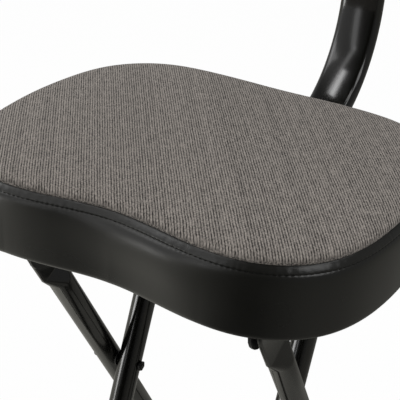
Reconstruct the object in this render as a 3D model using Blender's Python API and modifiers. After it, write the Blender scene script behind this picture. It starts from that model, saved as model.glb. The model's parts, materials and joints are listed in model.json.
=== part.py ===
"""Folding guitar stool: a kidney-shaped padded seat on two crossed tube frames, with a backrest.

Metres, +Z up, -Y is the front, +X is the sitter's left. Run it in Blender 4.5. Every piece is placed
in the stool's own frame, whose origin lies on the floor under the middle of the seat, and the last
step moves the whole stool so that the origin lies under the middle of its footprint.
"""

import math

import bmesh
import bpy
from mathutils import Matrix, Vector

# Frame tubes
TUBE_DIAMETER = 0.0254
TUBE_WALL = 0.0016
INNER_LEG_X = 0.0925  # leg axis to the middle of the stool
LEG_WASHER = 0.0016  # between crossing legs
CROSS_Y = 0.031  # cross pivot behind the middle of the seat
CROSS_HEIGHT = 0.3075
SEAT_PIVOT_Y = -0.0872  # seat bolts in front of the middle of the seat
TOP_BAR_Y = 0.1064  # inner frame's top bar behind it
FLAT_THICKNESS = 0.0052  # pressed top end of an outer leg
CRIMP_LENGTH = 0.021
FLAT_LENGTH = 0.041  # from the crimp to the seat bolt
FLAT_END_TURN = math.radians(70)  # how far round the flat's end is followed
FLAT_END_STEPS = 5
LEG_OVER_TOP_BAR = 0.013  # inner leg above its top bar's axis
COPE_GAP = 0.0003  # welded seam between two tubes

# Floor bars, foot rest and feet
FLOOR_BAR_LENGTH = 0.370
FOOT_RADIUS = 0.017
FOOT_LENGTH = 0.036
FOOT_WALL_END = 0.005
FOOT_ROUND_SHARES = ((0.7, 1.0), (0.2, 0.75), (0.0, 0.2))  # of the end wall: inwards, and out
FOOT_FLAT_DEPTH = 0.001  # cut off the round foot where it stands
FOOT_REST_BELOW_CROSS = 0.150  # along the inner leg
GRIP_LENGTH = 0.120
GRIP_WALL = 0.0025
GRIP_RIB = 0.001
GRIP_RIBS = 7
GRIP_RIB_SHARES = ((0.0, 0.0), (0.3, 1.0), (0.7, 1.0))  # along a rib, and of its rise

# Seat
SEAT_HEIGHT = 0.600  # floor to the seam between top and side covers
SEAT_HALF_WIDTH = 0.1995
SEAT_HALF_DEPTH = 0.160
SIDE_HEIGHT = 0.0643
SIDE_FLARE = 0.0065  # how much wider the bottom edge is than the seam
CROWN_HEIGHT = 0.011
COVER_THICKNESS = 0.0015
COVER_TURN_IN = 0.022  # side cover folded under the board
BOARD_THICKNESS = 0.012
BOARD_EDGE = 0.001  # board edge outside the seam line
DUST_COVER_THICKNESS = 0.0012
# Control points of the right half of the outline, from the front middle to the back middle
OUTLINE_SHARES = (
    (0.0, -0.835),
    (0.313, -0.926),
    (0.628, -0.960),
    (0.905, -0.739),
    (1.0, -0.302),
    (1.0, 0.257),
    (0.927, 0.721),
    (0.704, 0.992),
    (0.389, 1.033),
    (0.0, 1.005),
)
OUTLINE_STEPS = 3  # points for each control point
# Top cover from the seam inwards: share of the outline, share of the crown
CROWN_SHARES = (
    (1.0, 0.0),
    (1.0, 0.18),
    (0.994, 0.38),
    (0.96, 0.58),
    (0.86, 0.79),
    (0.62, 0.94),
    (0.25, 1.0),
)
# Side cover from the seam down: share of the flare, share of the height
SIDE_SHARES = (
    (0.0, 0.006),
    (0.35, 0.07),
    (0.62, 0.35),
    (0.95, 0.75),
    (1.0, 0.965),
    (0.86, 0.992),
    (0.6, 1.0),
)

# Seat fittings
SEAT_PIVOT_DROP = 0.0307  # below the underside
EAR_THICKNESS = 0.003
EAR_RADIUS = 0.022
EAR_ROUND_STEPS = 10
FLANGE_WIDTH = 0.034
FLANGE_LENGTH = 0.070
FLANGE_SCREW_SPACING = 0.046
PIVOT_WASHER = 0.0018
SADDLE_X = 0.062
SADDLE_WIDTH = 0.024
SADDLE_FRONT = 0.026  # in front of the top bar's axis
SADDLE_BACK = 0.026
SADDLE_ROUND_START = math.radians(-20)
SADDLE_ROUND_END = math.radians(104)
SADDLE_ROUND_STEPS = 12

# Backrest bar: a flat-oval tube that runs back under the seat and bends up behind it
BAR_WIDTH = 0.051
BAR_THICKNESS = 0.020
BAR_WALL = 0.002
BAR_FRONT_Y = -0.020
BEND_START_Y = 0.2350
BEND_RADIUS = 0.132
BEND_ANGLE = math.radians(86)
BAR_TOP_HEIGHT = 0.330  # above the seam line
BEND_STEPS = 10
RECEIVER_FRONT_Y = 0.025
RECEIVER_PAST_KNOB = 0.020
RECEIVER_WALL = 0.002
RECEIVER_FLANGE_HALF_WIDTH = 0.045
RECEIVER_SCREW_X = 0.0375
RECEIVER_SCREW_INSET = 0.014
RECEIVER_REAR_SCREW_INSET = 0.031  # in front of the turned-in cover
TOP_BAR_CLEARANCE = 0.0019  # receiver to the inner frame's top bar
SLIDE_GAP = 0.0004
PLUG_HEAD = 0.003
PLUG_DEPTH = 0.014
PLUG_EDGE = 0.001
ROUND_PLUG_DEPTH = 0.010
ROUND_PLUG_SHARES = ((0.0, 1.0), (0.6, 0.9), (0.95, 0.4))  # of the tube's radius, of the head

# Backrest
CARRIER_HEIGHT = 0.070
CARRIER_MIDDLE = 0.262  # above the seam line
CARRIER_PLATE = (0.110, 0.090)  # wide, high
CARRIER_PLATE_THICKNESS = 0.003
CARRIER_PLATE_ROOT = 0.001  # sunk into the sleeve it is welded to
PAD_HALF_WIDTH = 0.145
PAD_HALF_HEIGHT = 0.078
PAD_THICKNESS = 0.040
PAD_CROWN = 0.010
PAD_CURVE_RADIUS = 0.420
PAD_CORNER_POWER = 3.2
PAD_BOARD_THICKNESS = 0.008
PAD_POINTS = 36
PAD_TURN_IN = 0.016
PAD_SCREW_X = 0.040
PAD_BACK_SHARE = 0.985  # the sides draw in towards the back
# Cover from the pad's side to its middle: share of the outline, share of the crown
PAD_CROWN_SHARES = (
    (1.0, 0.0),
    (0.998, 0.22),
    (0.99, 0.45),
    (0.95, 0.68),
    (0.82, 0.87),
    (0.45, 0.985),
    (0.04, 1.0),
)
PAD_FACE_SHARES = (0.04, 0.36, 0.7, PAD_BACK_SHARE)

# Fasteners and knobs
BOLT_RADIUS = 0.003
BOLT_HEAD_RADIUS = 0.0075
BOLT_HEAD_HEIGHT = 0.0045
NUT_RADIUS = 0.0058
NUT_HEIGHT = 0.003
BOLT_PROUD = 0.0008
# Share of the head's radius, share of its height
BOLT_HEAD_SHARES = ((0.0, 1.0), (0.55, 0.92), (0.9, 0.6), (1.0, 0.15), (1.0, 0.0))
NUT_EDGE = 0.00045
WASHER_RADIUS = 0.009
SCREW_RADIUS = 0.0025
SCREW_HEAD_RADIUS = 0.0052
SCREW_HEAD_HEIGHT = 0.0028
SCREW_LENGTH = 0.0125
SCREW_HEAD_SHARES = ((1.0, 0.0), (0.92, 0.6), (0.5, 1.0), (0.0, 1.0))
HOLE_GAP = 0.0003
KNOB_RADIUS = 0.019
KNOB_HEIGHT = 0.013
KNOB_LOBES = 6
KNOB_POINTS = 5  # for each lobe
KNOB_LOBE_DEPTH = 0.0022
KNOB_HUB_RADIUS = 0.009
KNOB_HUB_HEIGHT = 0.006
KNOB_STUD_RADIUS = 0.003
KNOB_CLEARANCE = 0.005  # depth knob to the inner frame's top bar
# From the hub outwards: share of the radius, of the lobes and of the height
KNOB_SHARES = ((0.93, 0.9, 0.04), (1.0, 1.0, 0.2), (1.0, 1.0, 0.75), (0.9, 0.9, 0.94), (0.6, 0.0, 1.0))
BOSS_RADIUS = 0.0075
BOSS_HEIGHT = 0.005
BOSS_ROOT = 0.0012  # sunk into the wall it is welded to
REST_GAP = 0.0003  # between pieces that touch
CURVE_GAP = 0.0009  # between curved faces that touch
OVERRUN = 0.010  # cutters past what they cut
TUBE_SIDES = 20
SMALL_SIDES = 12
SCREW_SIDES = 8
SMOOTH_ANGLE = math.radians(35)
MERGE_DISTANCE = 0.00001

# Places worked out from the sizes
TUBE_RADIUS = TUBE_DIAMETER / 2
BORE_RADIUS = TUBE_RADIUS - TUBE_WALL
OUTER_LEG_X = INNER_LEG_X + TUBE_DIAMETER + LEG_WASHER
UNDERSIDE = SEAT_HEIGHT - SIDE_HEIGHT
FITTING_TOP = UNDERSIDE - REST_GAP
BOARD_BOTTOM = UNDERSIDE + COVER_THICKNESS + REST_GAP
BOARD_TOP = BOARD_BOTTOM + BOARD_THICKNESS
FOOT_AXIS_HEIGHT = FOOT_RADIUS - FOOT_FLAT_DEPTH
BAR_AXIS_HEIGHT = FITTING_TOP - RECEIVER_WALL - SLIDE_GAP - BAR_THICKNESS / 2
RECEIVER_BOTTOM = BAR_AXIS_HEIGHT - BAR_THICKNESS / 2 - SLIDE_GAP - RECEIVER_WALL
TOP_BAR_HEIGHT = RECEIVER_BOTTOM - TOP_BAR_CLEARANCE - TUBE_RADIUS
BAR_UP = Vector((0, math.cos(BEND_ANGLE), math.sin(BEND_ANGLE)))
BAR_BACK = Vector((0, math.sin(BEND_ANGLE), -math.cos(BEND_ANGLE)))
RIGHT = Vector((1, 0, 0))
FORWARDS = Vector((0, -1, 0))
UP = Vector((0, 0, 1))
SIDES = (("left", 1), ("right", -1))
CROSS = Vector((0, CROSS_Y, CROSS_HEIGHT))
SEAT_PIVOT = Vector((0, SEAT_PIVOT_Y, UNDERSIDE - SEAT_PIVOT_DROP))
TOP_BAR = Vector((0, TOP_BAR_Y, TOP_BAR_HEIGHT))
OUTER_UP = (SEAT_PIVOT - CROSS).normalized()
INNER_UP = (TOP_BAR - CROSS).normalized()
BEND_END = Vector((0, BEND_START_Y, BAR_AXIS_HEIGHT)) + Vector(
    (0, math.sin(BEND_ANGLE), 1 - math.cos(BEND_ANGLE))
) * BEND_RADIUS
UPRIGHT_LENGTH = (SEAT_HEIGHT + BAR_TOP_HEIGHT - BEND_END.z) / BAR_UP.z
BAR_TOP = BEND_END + BAR_UP * UPRIGHT_LENGTH
CARRIER = BEND_END + BAR_UP * ((SEAT_HEIGHT + CARRIER_MIDDLE - BEND_END.z) / BAR_UP.z)
CARRIER_FRONT = BAR_THICKNESS / 2 + SLIDE_GAP + RECEIVER_WALL  # from the bar's axis to the sleeve's face
KNOB_Y = TOP_BAR.y + TUBE_RADIUS + KNOB_CLEARANCE + KNOB_RADIUS
RECEIVER_BACK_Y = KNOB_Y + RECEIVER_PAST_KNOB
PLATE_FACE = CARRIER_FRONT + CARRIER_PLATE_THICKNESS - CARRIER_PLATE_ROOT  # from the bar's axis


def on_leg(up, height, x=0.0):
    """The point of a leg's axis at a height."""
    return CROSS + RIGHT * x + up * ((height - CROSS_HEIGHT) / up.z)


def clear_scene():
    for obj in list(bpy.data.objects):
        bpy.data.objects.remove(obj, do_unlink=True)


def new_collection(name):
    collection = bpy.data.collections.new(name)
    bpy.context.scene.collection.children.link(collection)
    return collection


clear_scene()
PARTS = new_collection("guitar_stool")
CUTTERS = new_collection("cutters")
CUTTERS.hide_render = True
GROUPS = {}


def make_material(name, colour, roughness, metallic=0.0):
    material = bpy.data.materials.new(name)
    material.use_nodes = True
    shader = material.node_tree.nodes["Principled BSDF"]
    shader.inputs["Base Color"].default_value = (*colour, 1)
    shader.inputs["Roughness"].default_value = roughness
    shader.inputs["Metallic"].default_value = metallic
    return material


BLACK_PAINT = make_material("black_paint", (0.012, 0.012, 0.012), 0.25)
ZINC = make_material("zinc_steel", (0.45, 0.45, 0.46), 0.35, 1.0)
BLACK_STEEL = make_material("black_steel", (0.03, 0.03, 0.03), 0.4, 0.8)
RUBBER = make_material("black_rubber", (0.015, 0.015, 0.015), 0.75)
PLASTIC = make_material("black_plastic", (0.02, 0.02, 0.02), 0.5)
VINYL = make_material("black_vinyl", (0.025, 0.025, 0.023), 0.45)
CLOTH = make_material("grey_cloth", (0.16, 0.14, 0.125), 0.95)
FOAM = make_material("foam", (0.75, 0.7, 0.5), 0.9)
PLYWOOD = make_material("plywood", (0.55, 0.4, 0.25), 0.7)
DUST_CLOTH = make_material("dust_cloth", (0.02, 0.02, 0.02), 0.95)


def make_group(name, at, parent=None):
    """An empty that carries the pieces that move together. It stands on their joint's axis."""
    empty = bpy.data.objects.new(name, None)
    PARTS.objects.link(empty)
    empty.parent = GROUPS[parent][0] if parent else None
    empty.location = at - (GROUPS[parent][1] if parent else Vector())
    GROUPS[name] = (empty, at)


def adopt(obj, group, material=None):
    """Hands an object that was made in the stool's frame to a group."""
    empty, at = GROUPS[group]
    obj.parent = empty
    obj.location = obj.location - at
    if material:
        obj.data.materials.clear()
        obj.data.materials.append(material)
    return obj


def new_object(name, mesh_source, collection=None):
    mesh = bpy.data.meshes.new(name)
    mesh_source.to_mesh(mesh)
    mesh_source.free()
    obj = bpy.data.objects.new(name, mesh)
    (collection or PARTS).objects.link(obj)
    return obj


def smooth(obj):
    obj.data.shade_smooth()
    obj.data.set_sharp_from_angle(angle=SMOOTH_ANGLE)
    return obj


def loft(name, rings, loop=False):
    """A skin over rings of equally many points. It is capped at both ends, or joined end to start.

    Every cell is split along the same diagonal, so that curved skins that nest keep their gap.
    """
    shape = bmesh.new()
    made = [[shape.verts.new(point) for point in ring] for ring in rings]
    pairs = list(zip(made, made[1:]))
    if loop:
        pairs.append((made[-1], made[0]))
    for low, high in pairs:
        for i in range(len(low)):
            j = (i + 1) % len(low)
            shape.faces.new((low[i], low[j], high[j]))
            shape.faces.new((low[i], high[j], high[i]))
    if not loop:
        shape.faces.new(made[0])
        shape.faces.new(made[-1])
    bmesh.ops.recalc_face_normals(shape, faces=shape.faces)
    if shape.calc_volume(signed=True) < 0:
        bmesh.ops.reverse_faces(shape, faces=shape.faces)
    return smooth(new_object(name, shape))


def aim(obj, start, direction):
    obj.rotation_mode = "QUATERNION"
    obj.rotation_quaternion = Vector(direction).to_track_quat("Z", "Y")
    obj.location = start
    return obj


def cylinder(name, start, end, radius, sides=TUBE_SIDES, collection=None):
    shape = bmesh.new()
    span = end - start
    middle = Matrix.Translation((0, 0, span.length / 2))
    bmesh.ops.create_cone(
        shape, cap_ends=True, segments=sides, radius1=radius, radius2=radius, depth=span.length, matrix=middle
    )
    return aim(new_object(name, shape, collection), start, span)


def box(name, low, high, collection=None):
    shape = bmesh.new()
    size = Matrix.Diagonal((*(high - low), 1))
    bmesh.ops.create_cube(shape, size=1, matrix=Matrix.Translation((low + high) / 2) @ size)
    return new_object(name, shape, collection)


def hollow_tube(name, start, end):
    """A straight frame tube: an open cylinder with a wall."""
    shape = bmesh.new()
    span = end - start
    middle = Matrix.Translation((0, 0, span.length / 2))
    bmesh.ops.create_cone(
        shape,
        cap_ends=False,
        segments=TUBE_SIDES,
        radius1=TUBE_RADIUS,
        radius2=TUBE_RADIUS,
        depth=span.length,
        matrix=middle,
    )
    obj = smooth(aim(new_object(name, shape), start, span))
    wall = obj.modifiers.new("wall", "SOLIDIFY")
    wall.thickness = TUBE_WALL
    wall.offset = -1
    return obj


def turned(name, profile, start, direction, sides=SMALL_SIDES):
    """A turned piece. Its profile holds (radius, height) points and runs down the outer side."""
    shape = bmesh.new()
    points = [shape.verts.new((radius, 0, height)) for radius, height in profile]
    for first, second in zip(points, points[1:]):
        shape.edges.new((first, second))
    if profile[0][0] > 0:
        shape.edges.new((points[-1], points[0]))
    obj = aim(new_object(name, shape), start, direction)
    turn = obj.modifiers.new("turn", "SCREW")
    turn.steps = sides
    turn.render_steps = sides
    turn.use_merge_vertices = True
    turn.merge_threshold = MERGE_DISTANCE
    turn.use_smooth_shade = True
    return obj


def cut(obj, cutter, operation="DIFFERENCE"):
    cutter.hide_render = True
    cutter.display_type = "WIRE"
    change = obj.modifiers.new(cutter.name, "BOOLEAN")
    change.operation = operation
    change.object = cutter
    return obj


def join(obj, other):
    return cut(obj, other, "UNION")


def drill(obj, group, start, end, radius, sides=SMALL_SIDES):
    """A round hole from one point to another."""
    count = len(CUTTERS.objects)
    cutter = cylinder(f"cutter_{count}", Vector(start), Vector(end), radius, sides, CUTTERS)
    adopt(cutter, group)
    return cut(obj, cutter)


def cope(obj, group, axis_point):
    """Shapes the end of a tube to lie on a crossing tube that runs along X."""
    reach = Vector((FLOOR_BAR_LENGTH, 0, 0))
    cutter = cylinder(
        f"cutter_{len(CUTTERS.objects)}",
        axis_point - reach,
        axis_point + reach,
        TUBE_RADIUS + COPE_GAP,
        TUBE_SIDES,
        CUTTERS,
    )
    adopt(cutter, group)
    return cut(obj, cutter)


def cope_side(obj, group, leg_x, up):
    """Shapes the end of a bar along X to lie on the side of a leg."""
    start = Vector((leg_x, CROSS_Y, CROSS_HEIGHT))
    cutter = cylinder(
        f"cutter_{len(CUTTERS.objects)}",
        start - up * SEAT_HEIGHT,
        start + up * SEAT_HEIGHT,
        TUBE_RADIUS + COPE_GAP,
        TUBE_SIDES,
        CUTTERS,
    )
    adopt(cutter, group)
    return cut(obj, cutter)


def stadium(half_width, half_thickness, sides=TUBE_SIDES):
    """A section with straight flats and round ends, as (across, through) pairs. It can be a circle."""
    flat = half_width - half_thickness
    points = []
    for i in range(sides):
        angle = 2 * math.pi * (i + 0.5) / sides
        across = math.copysign(flat, math.cos(angle)) + half_thickness * math.cos(angle)
        points.append((across, half_thickness * math.sin(angle)))
    return points


def placed(section, centre, across, through):
    return [centre + across * a + through * t for a, t in section]


def closed_spline(controls, steps):
    """A smooth closed line through the hull of its control points: a uniform cubic B-spline."""
    points = []
    count = len(controls)
    for i in range(count):
        near = [controls[(i + k) % count] for k in (-1, 0, 1, 2)]
        for step in range(steps):
            t = step / steps
            weights = ((1 - t) ** 3, 3 * t**3 - 6 * t**2 + 4, -3 * t**3 + 3 * t**2 + 3 * t + 1, t**3)
            points.append(sum((p * w for p, w in zip(near, weights)), Vector((0, 0))) / 6)
    return points


def seat_outline():
    half = [Vector((x * SEAT_HALF_WIDTH, y * SEAT_HALF_DEPTH)) for x, y in OUTLINE_SHARES]
    mirrored = [Vector((-p.x, p.y)) for p in reversed(half[1:-1])]
    return closed_spline(half + mirrored, OUTLINE_STEPS)


OUTLINE = seat_outline()


def seat_ring(offset, height, share=1.0):
    """The seat's outline moved outwards by an offset, or drawn in to a share of its size."""
    ring = []
    for i, point in enumerate(OUTLINE):
        along = (OUTLINE[(i + 1) % len(OUTLINE)] - OUTLINE[i - 1]).normalized()
        moved = point * share + Vector((along.y, -along.x)) * offset
        ring.append(Vector((moved.x, moved.y, height)))
    return ring


def crown_rings(inside):
    """The crowned top, from the seam to the middle, moved inwards by a distance."""
    return [
        seat_ring(-inside, SEAT_HEIGHT + crown * CROWN_HEIGHT - (inside if crown else 0), share)
        for share, crown in CROWN_SHARES
    ]


def side_rings(inside):
    """The side from the seam down to the fold under the board, moved inwards by a distance."""
    rings = []
    for flare, drop in SIDE_SHARES:
        rings.append(seat_ring(flare * SIDE_FLARE - inside, SEAT_HEIGHT - drop * SIDE_HEIGHT))
    return rings


def make_seat():
    under = UNDERSIDE + COVER_THICKNESS
    outer_top = crown_rings(0)
    inner_top = crown_rings(COVER_THICKNESS)
    top = loft("seat_top_cover", outer_top[::-1] + inner_top)
    adopt(top, "seat", CLOTH)

    outside = side_rings(0) + [seat_ring(-COVER_TURN_IN, UNDERSIDE)]
    inside = [seat_ring(-COVER_TURN_IN, under), seat_ring(SIDE_FLARE - COVER_THICKNESS, under)]
    inside += side_rings(COVER_THICKNESS)[3::-1]
    side = loft("seat_side_cover", outside + inside, loop=True)
    adopt(side, "seat", VINYL)

    board = loft("seat_board", [seat_ring(BOARD_EDGE, BOARD_BOTTOM), seat_ring(BOARD_EDGE, BOARD_TOP)])
    adopt(board, "seat", PLYWOOD)
    clear = COVER_THICKNESS + REST_GAP
    foam_side = side_rings(clear)[2::-1]
    foam_side.insert(0, seat_ring(SIDE_SHARES[2][0] * SIDE_FLARE - clear, BOARD_TOP + REST_GAP))
    foam = loft("seat_foam", foam_side + crown_rings(clear)[1::2])
    adopt(foam, "seat", FOAM)
    dust_edge = -COVER_TURN_IN - REST_GAP
    dust = loft(
        "seat_dust_cover",
        [seat_ring(dust_edge, UNDERSIDE), seat_ring(dust_edge, UNDERSIDE + DUST_COVER_THICKNESS)],
    )
    adopt(dust, "seat", DUST_CLOTH)
    return side, dust, board


def washer(name, start, direction, thickness):
    hole = BOLT_RADIUS + HOLE_GAP
    profile = ((WASHER_RADIUS, thickness), (WASHER_RADIUS, 0), (hole, 0), (hole, thickness))
    return turned(name, profile, start, direction)


def bolt(name, head_face, direction, length):
    """A round-headed bolt. Its shank runs along the direction from the face under its head."""
    head = [(across * BOLT_HEAD_RADIUS, out * BOLT_HEAD_HEIGHT) for across, out in BOLT_HEAD_SHARES]
    shank = [(BOLT_RADIUS, 0), (BOLT_RADIUS, -length), (0, -length)]
    return turned(name, head + shank, head_face, -direction)


def nut(name, group, start, direction):
    piece = cylinder(name, start, start + direction * NUT_HEIGHT, NUT_RADIUS, 6)
    edge = piece.modifiers.new("edge", "BEVEL")
    edge.width = NUT_EDGE
    drill(piece, group, start - direction * OVERRUN, start + direction * OVERRUN, BOLT_RADIUS + HOLE_GAP)
    return piece


def screw(name, group, face, into):
    """A wood screw. Its head lies on the face, and its shank runs into the board."""
    shank = [(0, SCREW_LENGTH), (SCREW_RADIUS, SCREW_LENGTH), (SCREW_RADIUS, 0)]
    head = [(across * SCREW_HEAD_RADIUS, -out * SCREW_HEAD_HEIGHT) for across, out in SCREW_HEAD_SHARES]
    return adopt(turned(name, shank + head, face, into, SCREW_SIDES), group, ZINC)


def seat_screw(name, x, y, face, layers):
    """A screw that goes up into the seat's board, with its hole through the layers under and in the seat."""
    screw(name, "seat", Vector((x, y, face)), UP)
    low = Vector((x, y, RECEIVER_BOTTOM - OVERRUN))
    high = Vector((x, y, BOARD_TOP + REST_GAP / 2))
    for layer in layers:
        drill(layer, "seat", low, high, SCREW_RADIUS + HOLE_GAP, SCREW_SIDES)


def make_front_brackets(layers):
    """Angle plates under the seat's front. Each hangs an ear beside the pressed end of an outer leg."""
    leg_face = OUTER_LEG_X - FLAT_THICKNESS / 2
    ear_outside = leg_face - PIVOT_WASHER - 2 * REST_GAP
    ear_inside = ear_outside - EAR_THICKNESS
    top = FITTING_TOP - EAR_THICKNESS / 2
    outline = [(SEAT_PIVOT.y + EAR_RADIUS, top), (SEAT_PIVOT.y - EAR_RADIUS, top)]
    for i in range(EAR_ROUND_STEPS + 1):
        angle = math.pi * (1 + i / EAR_ROUND_STEPS)
        outline.append(
            (SEAT_PIVOT.y + EAR_RADIUS * math.cos(angle), SEAT_PIVOT.z + EAR_RADIUS * math.sin(angle))
        )
    for side, sign in SIDES:
        rings = [[Vector((sign * x, y, z)) for y, z in outline] for x in (ear_inside, ear_outside)]
        ear = adopt(loft(f"front_bracket_{side}", rings), "seat", BLACK_STEEL)
        near, far = sorted((sign * (ear_outside - REST_GAP), sign * (ear_outside - FLANGE_WIDTH)))
        flange = box(
            f"{ear.name}_flange",
            Vector((near, SEAT_PIVOT.y - FLANGE_LENGTH / 2, FITTING_TOP - EAR_THICKNESS)),
            Vector((far, SEAT_PIVOT.y + FLANGE_LENGTH / 2, FITTING_TOP)),
            CUTTERS,
        )
        adopt(flange, "seat")
        join(ear, flange)
        hole_start = Vector((sign * (ear_inside - OVERRUN), SEAT_PIVOT.y, SEAT_PIVOT.z))
        hole_end = Vector((sign * (ear_outside + OVERRUN), SEAT_PIVOT.y, SEAT_PIVOT.z))
        drill(ear, "seat", hole_start, hole_end, BOLT_RADIUS + HOLE_GAP)
        x = sign * (ear_outside - FLANGE_WIDTH / 2)
        for place, step in (("front", -1), ("rear", 1)):
            y = SEAT_PIVOT.y + step * FLANGE_SCREW_SPACING / 2
            face = FITTING_TOP - EAR_THICKNESS - REST_GAP
            seat_screw(f"bracket_screw_{side}_{place}", x, y, face, (ear, *layers))


def make_seat_pivots():
    """The bolts that hinge the seat on the outer legs, with their washers and lock nuts."""
    outside = OUTER_LEG_X + FLAT_THICKNESS / 2 + REST_GAP
    washer_face = OUTER_LEG_X - FLAT_THICKNESS / 2 - REST_GAP
    ear_inside = washer_face - PIVOT_WASHER - REST_GAP - EAR_THICKNESS
    nut_end = ear_inside - REST_GAP - NUT_HEIGHT
    for side, sign in SIDES:
        inwards = RIGHT * -sign
        face = SEAT_PIVOT + RIGHT * sign * outside
        piece = bolt(f"seat_bolt_{side}", face, inwards, outside - nut_end + BOLT_PROUD)
        adopt(piece, "outer_frame", BLACK_STEEL)
        start = SEAT_PIVOT + RIGHT * sign * washer_face
        adopt(washer(f"seat_washer_{side}", start, inwards, PIVOT_WASHER), "outer_frame", PLASTIC)
        start = SEAT_PIVOT + RIGHT * sign * (ear_inside - REST_GAP)
        adopt(nut(f"seat_nut_{side}", "outer_frame", start, inwards), "outer_frame", ZINC)


def make_saddles(layers):
    """Blocks under the seat's back that rest on the inner frame's top bar, with a lip behind it."""
    radius = TUBE_RADIUS + REST_GAP + SLIDE_GAP / 2
    for side, sign in SIDES:
        arc = []
        for i in range(SADDLE_ROUND_STEPS + 1):
            angle = SADDLE_ROUND_START + (SADDLE_ROUND_END - SADDLE_ROUND_START) * i / SADDLE_ROUND_STEPS
            arc.append((TOP_BAR.y + radius * math.cos(angle), TOP_BAR.z + radius * math.sin(angle)))
        front = TOP_BAR.y - SADDLE_FRONT
        back = TOP_BAR.y + SADDLE_BACK
        outline = arc + [(front, arc[-1][1]), (front, FITTING_TOP), (back, FITTING_TOP), (back, arc[0][1])]
        x = sign * SADDLE_X
        rings = [[Vector((x + half * SADDLE_WIDTH / 2, y, z)) for y, z in outline] for half in (-1, 1)]
        block = adopt(loft(f"rear_saddle_{side}", rings), "seat", PLASTIC)
        y = (TOP_BAR.y + radius + back) / 2
        face = FITTING_TOP - EAR_THICKNESS - REST_GAP
        low = Vector((x, y, TOP_BAR.z - OVERRUN - TUBE_RADIUS))
        high = Vector((x, y, face + REST_GAP))
        drill(block, "seat", low, high, SCREW_HEAD_RADIUS + HOLE_GAP, SCREW_SIDES)
        seat_screw(f"saddle_screw_{side}", x, y, face, (block, *layers))


def make_outer_leg(side, sign):
    """A straight tube whose top end is pressed flat round the seat bolt."""
    half_flat = FLAT_THICKNESS / 2
    half_width = half_flat + math.pi / 2 * (TUBE_RADIUS - half_flat)  # pressing keeps the tube's girth
    cross = Vector((sign * OUTER_LEG_X, CROSS_Y, CROSS_HEIGHT))
    pivot_at = (SEAT_PIVOT.z - CROSS_HEIGHT) / OUTER_UP.z
    floor_at = (FOOT_AXIS_HEIGHT - CROSS_HEIGHT) / OUTER_UP.z
    crimp_end = pivot_at - FLAT_LENGTH
    crimp_start = crimp_end - CRIMP_LENGTH
    across = OUTER_UP.cross(RIGHT)
    round_section = stadium(TUBE_RADIUS, TUBE_RADIUS)
    bore_section = stadium(BORE_RADIUS, BORE_RADIUS)
    stations = [(floor_at, round_section), (crimp_start, round_section)]
    stations.append((crimp_end, stadium(half_width, half_flat)))
    for i in range(FLAT_END_STEPS + 1):
        angle = FLAT_END_TURN * i / FLAT_END_STEPS
        reach = half_width * math.sin(angle)
        stations.append((pivot_at + reach, stadium(half_width * math.cos(angle), half_flat)))
    rings = [placed(section, cross + OUTER_UP * at, across, RIGHT) for at, section in stations[::-1]]
    for at in (floor_at, crimp_start - TUBE_WALL):
        rings.append(placed(bore_section, cross + OUTER_UP * at, across, RIGHT))
    leg = adopt(loft(f"outer_leg_{side}", rings), "outer_frame", BLACK_PAINT)
    cope(leg, "outer_frame", cross + OUTER_UP * floor_at)
    for centre in (cross, cross + OUTER_UP * pivot_at):
        reach = RIGHT * (TUBE_RADIUS + OVERRUN)
        drill(leg, "outer_frame", centre - reach, centre + reach, BOLT_RADIUS + HOLE_GAP)
    return leg


def make_inner_leg(side, sign):
    cross = Vector((sign * INNER_LEG_X, CROSS_Y, CROSS_HEIGHT))
    floor_point = on_leg(INNER_UP, FOOT_AXIS_HEIGHT, cross.x)
    top_point = on_leg(INNER_UP, TOP_BAR_HEIGHT, cross.x) + INNER_UP * LEG_OVER_TOP_BAR
    leg = adopt(hollow_tube(f"inner_leg_{side}", floor_point, top_point), "inner_frame", BLACK_PAINT)
    cope(leg, "inner_frame", floor_point)
    reach = RIGHT * (TUBE_RADIUS + OVERRUN)
    drill(leg, "inner_frame", cross - reach, cross + reach, BOLT_RADIUS + HOLE_GAP)
    head = [(across * TUBE_RADIUS, out * PLUG_HEAD) for across, out in ROUND_PLUG_SHARES]
    slim = BORE_RADIUS - REST_GAP
    stem = [(TUBE_RADIUS, REST_GAP), (slim, REST_GAP), (slim, -ROUND_PLUG_DEPTH), (0, -ROUND_PLUG_DEPTH)]
    plug = turned(f"inner_leg_plug_{side}", head + stem, top_point, INNER_UP, TUBE_SIDES)
    adopt(plug, "inner_frame", PLASTIC)


def bar_between_inner_legs(name, centre):
    reach = RIGHT * INNER_LEG_X
    bar = adopt(hollow_tube(name, centre - reach, centre + reach), "inner_frame", BLACK_PAINT)
    for _, sign in SIDES:
        cope_side(bar, "inner_frame", sign * INNER_LEG_X, INNER_UP)
    return bar


def make_foot_rest():
    """A bar between the inner legs, below the cross, with a ribbed rubber grip."""
    centre = CROSS - INNER_UP * FOOT_REST_BELOW_CROSS
    bar_between_inner_legs("foot_rest_bar", centre)
    radius = TUBE_RADIUS + REST_GAP
    outside = radius + GRIP_WALL
    profile = []
    for i in range(GRIP_RIBS):
        for along, rise in GRIP_RIB_SHARES:
            profile.append((outside + rise * GRIP_RIB, GRIP_LENGTH * (1 - (i + along) / GRIP_RIBS)))
    profile += [(outside, 0), (radius, 0), (radius, GRIP_LENGTH)]
    grip = turned("foot_rest_grip", profile, centre - RIGHT * GRIP_LENGTH / 2, RIGHT, TUBE_SIDES)
    adopt(grip, "inner_frame", RUBBER)


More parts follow.
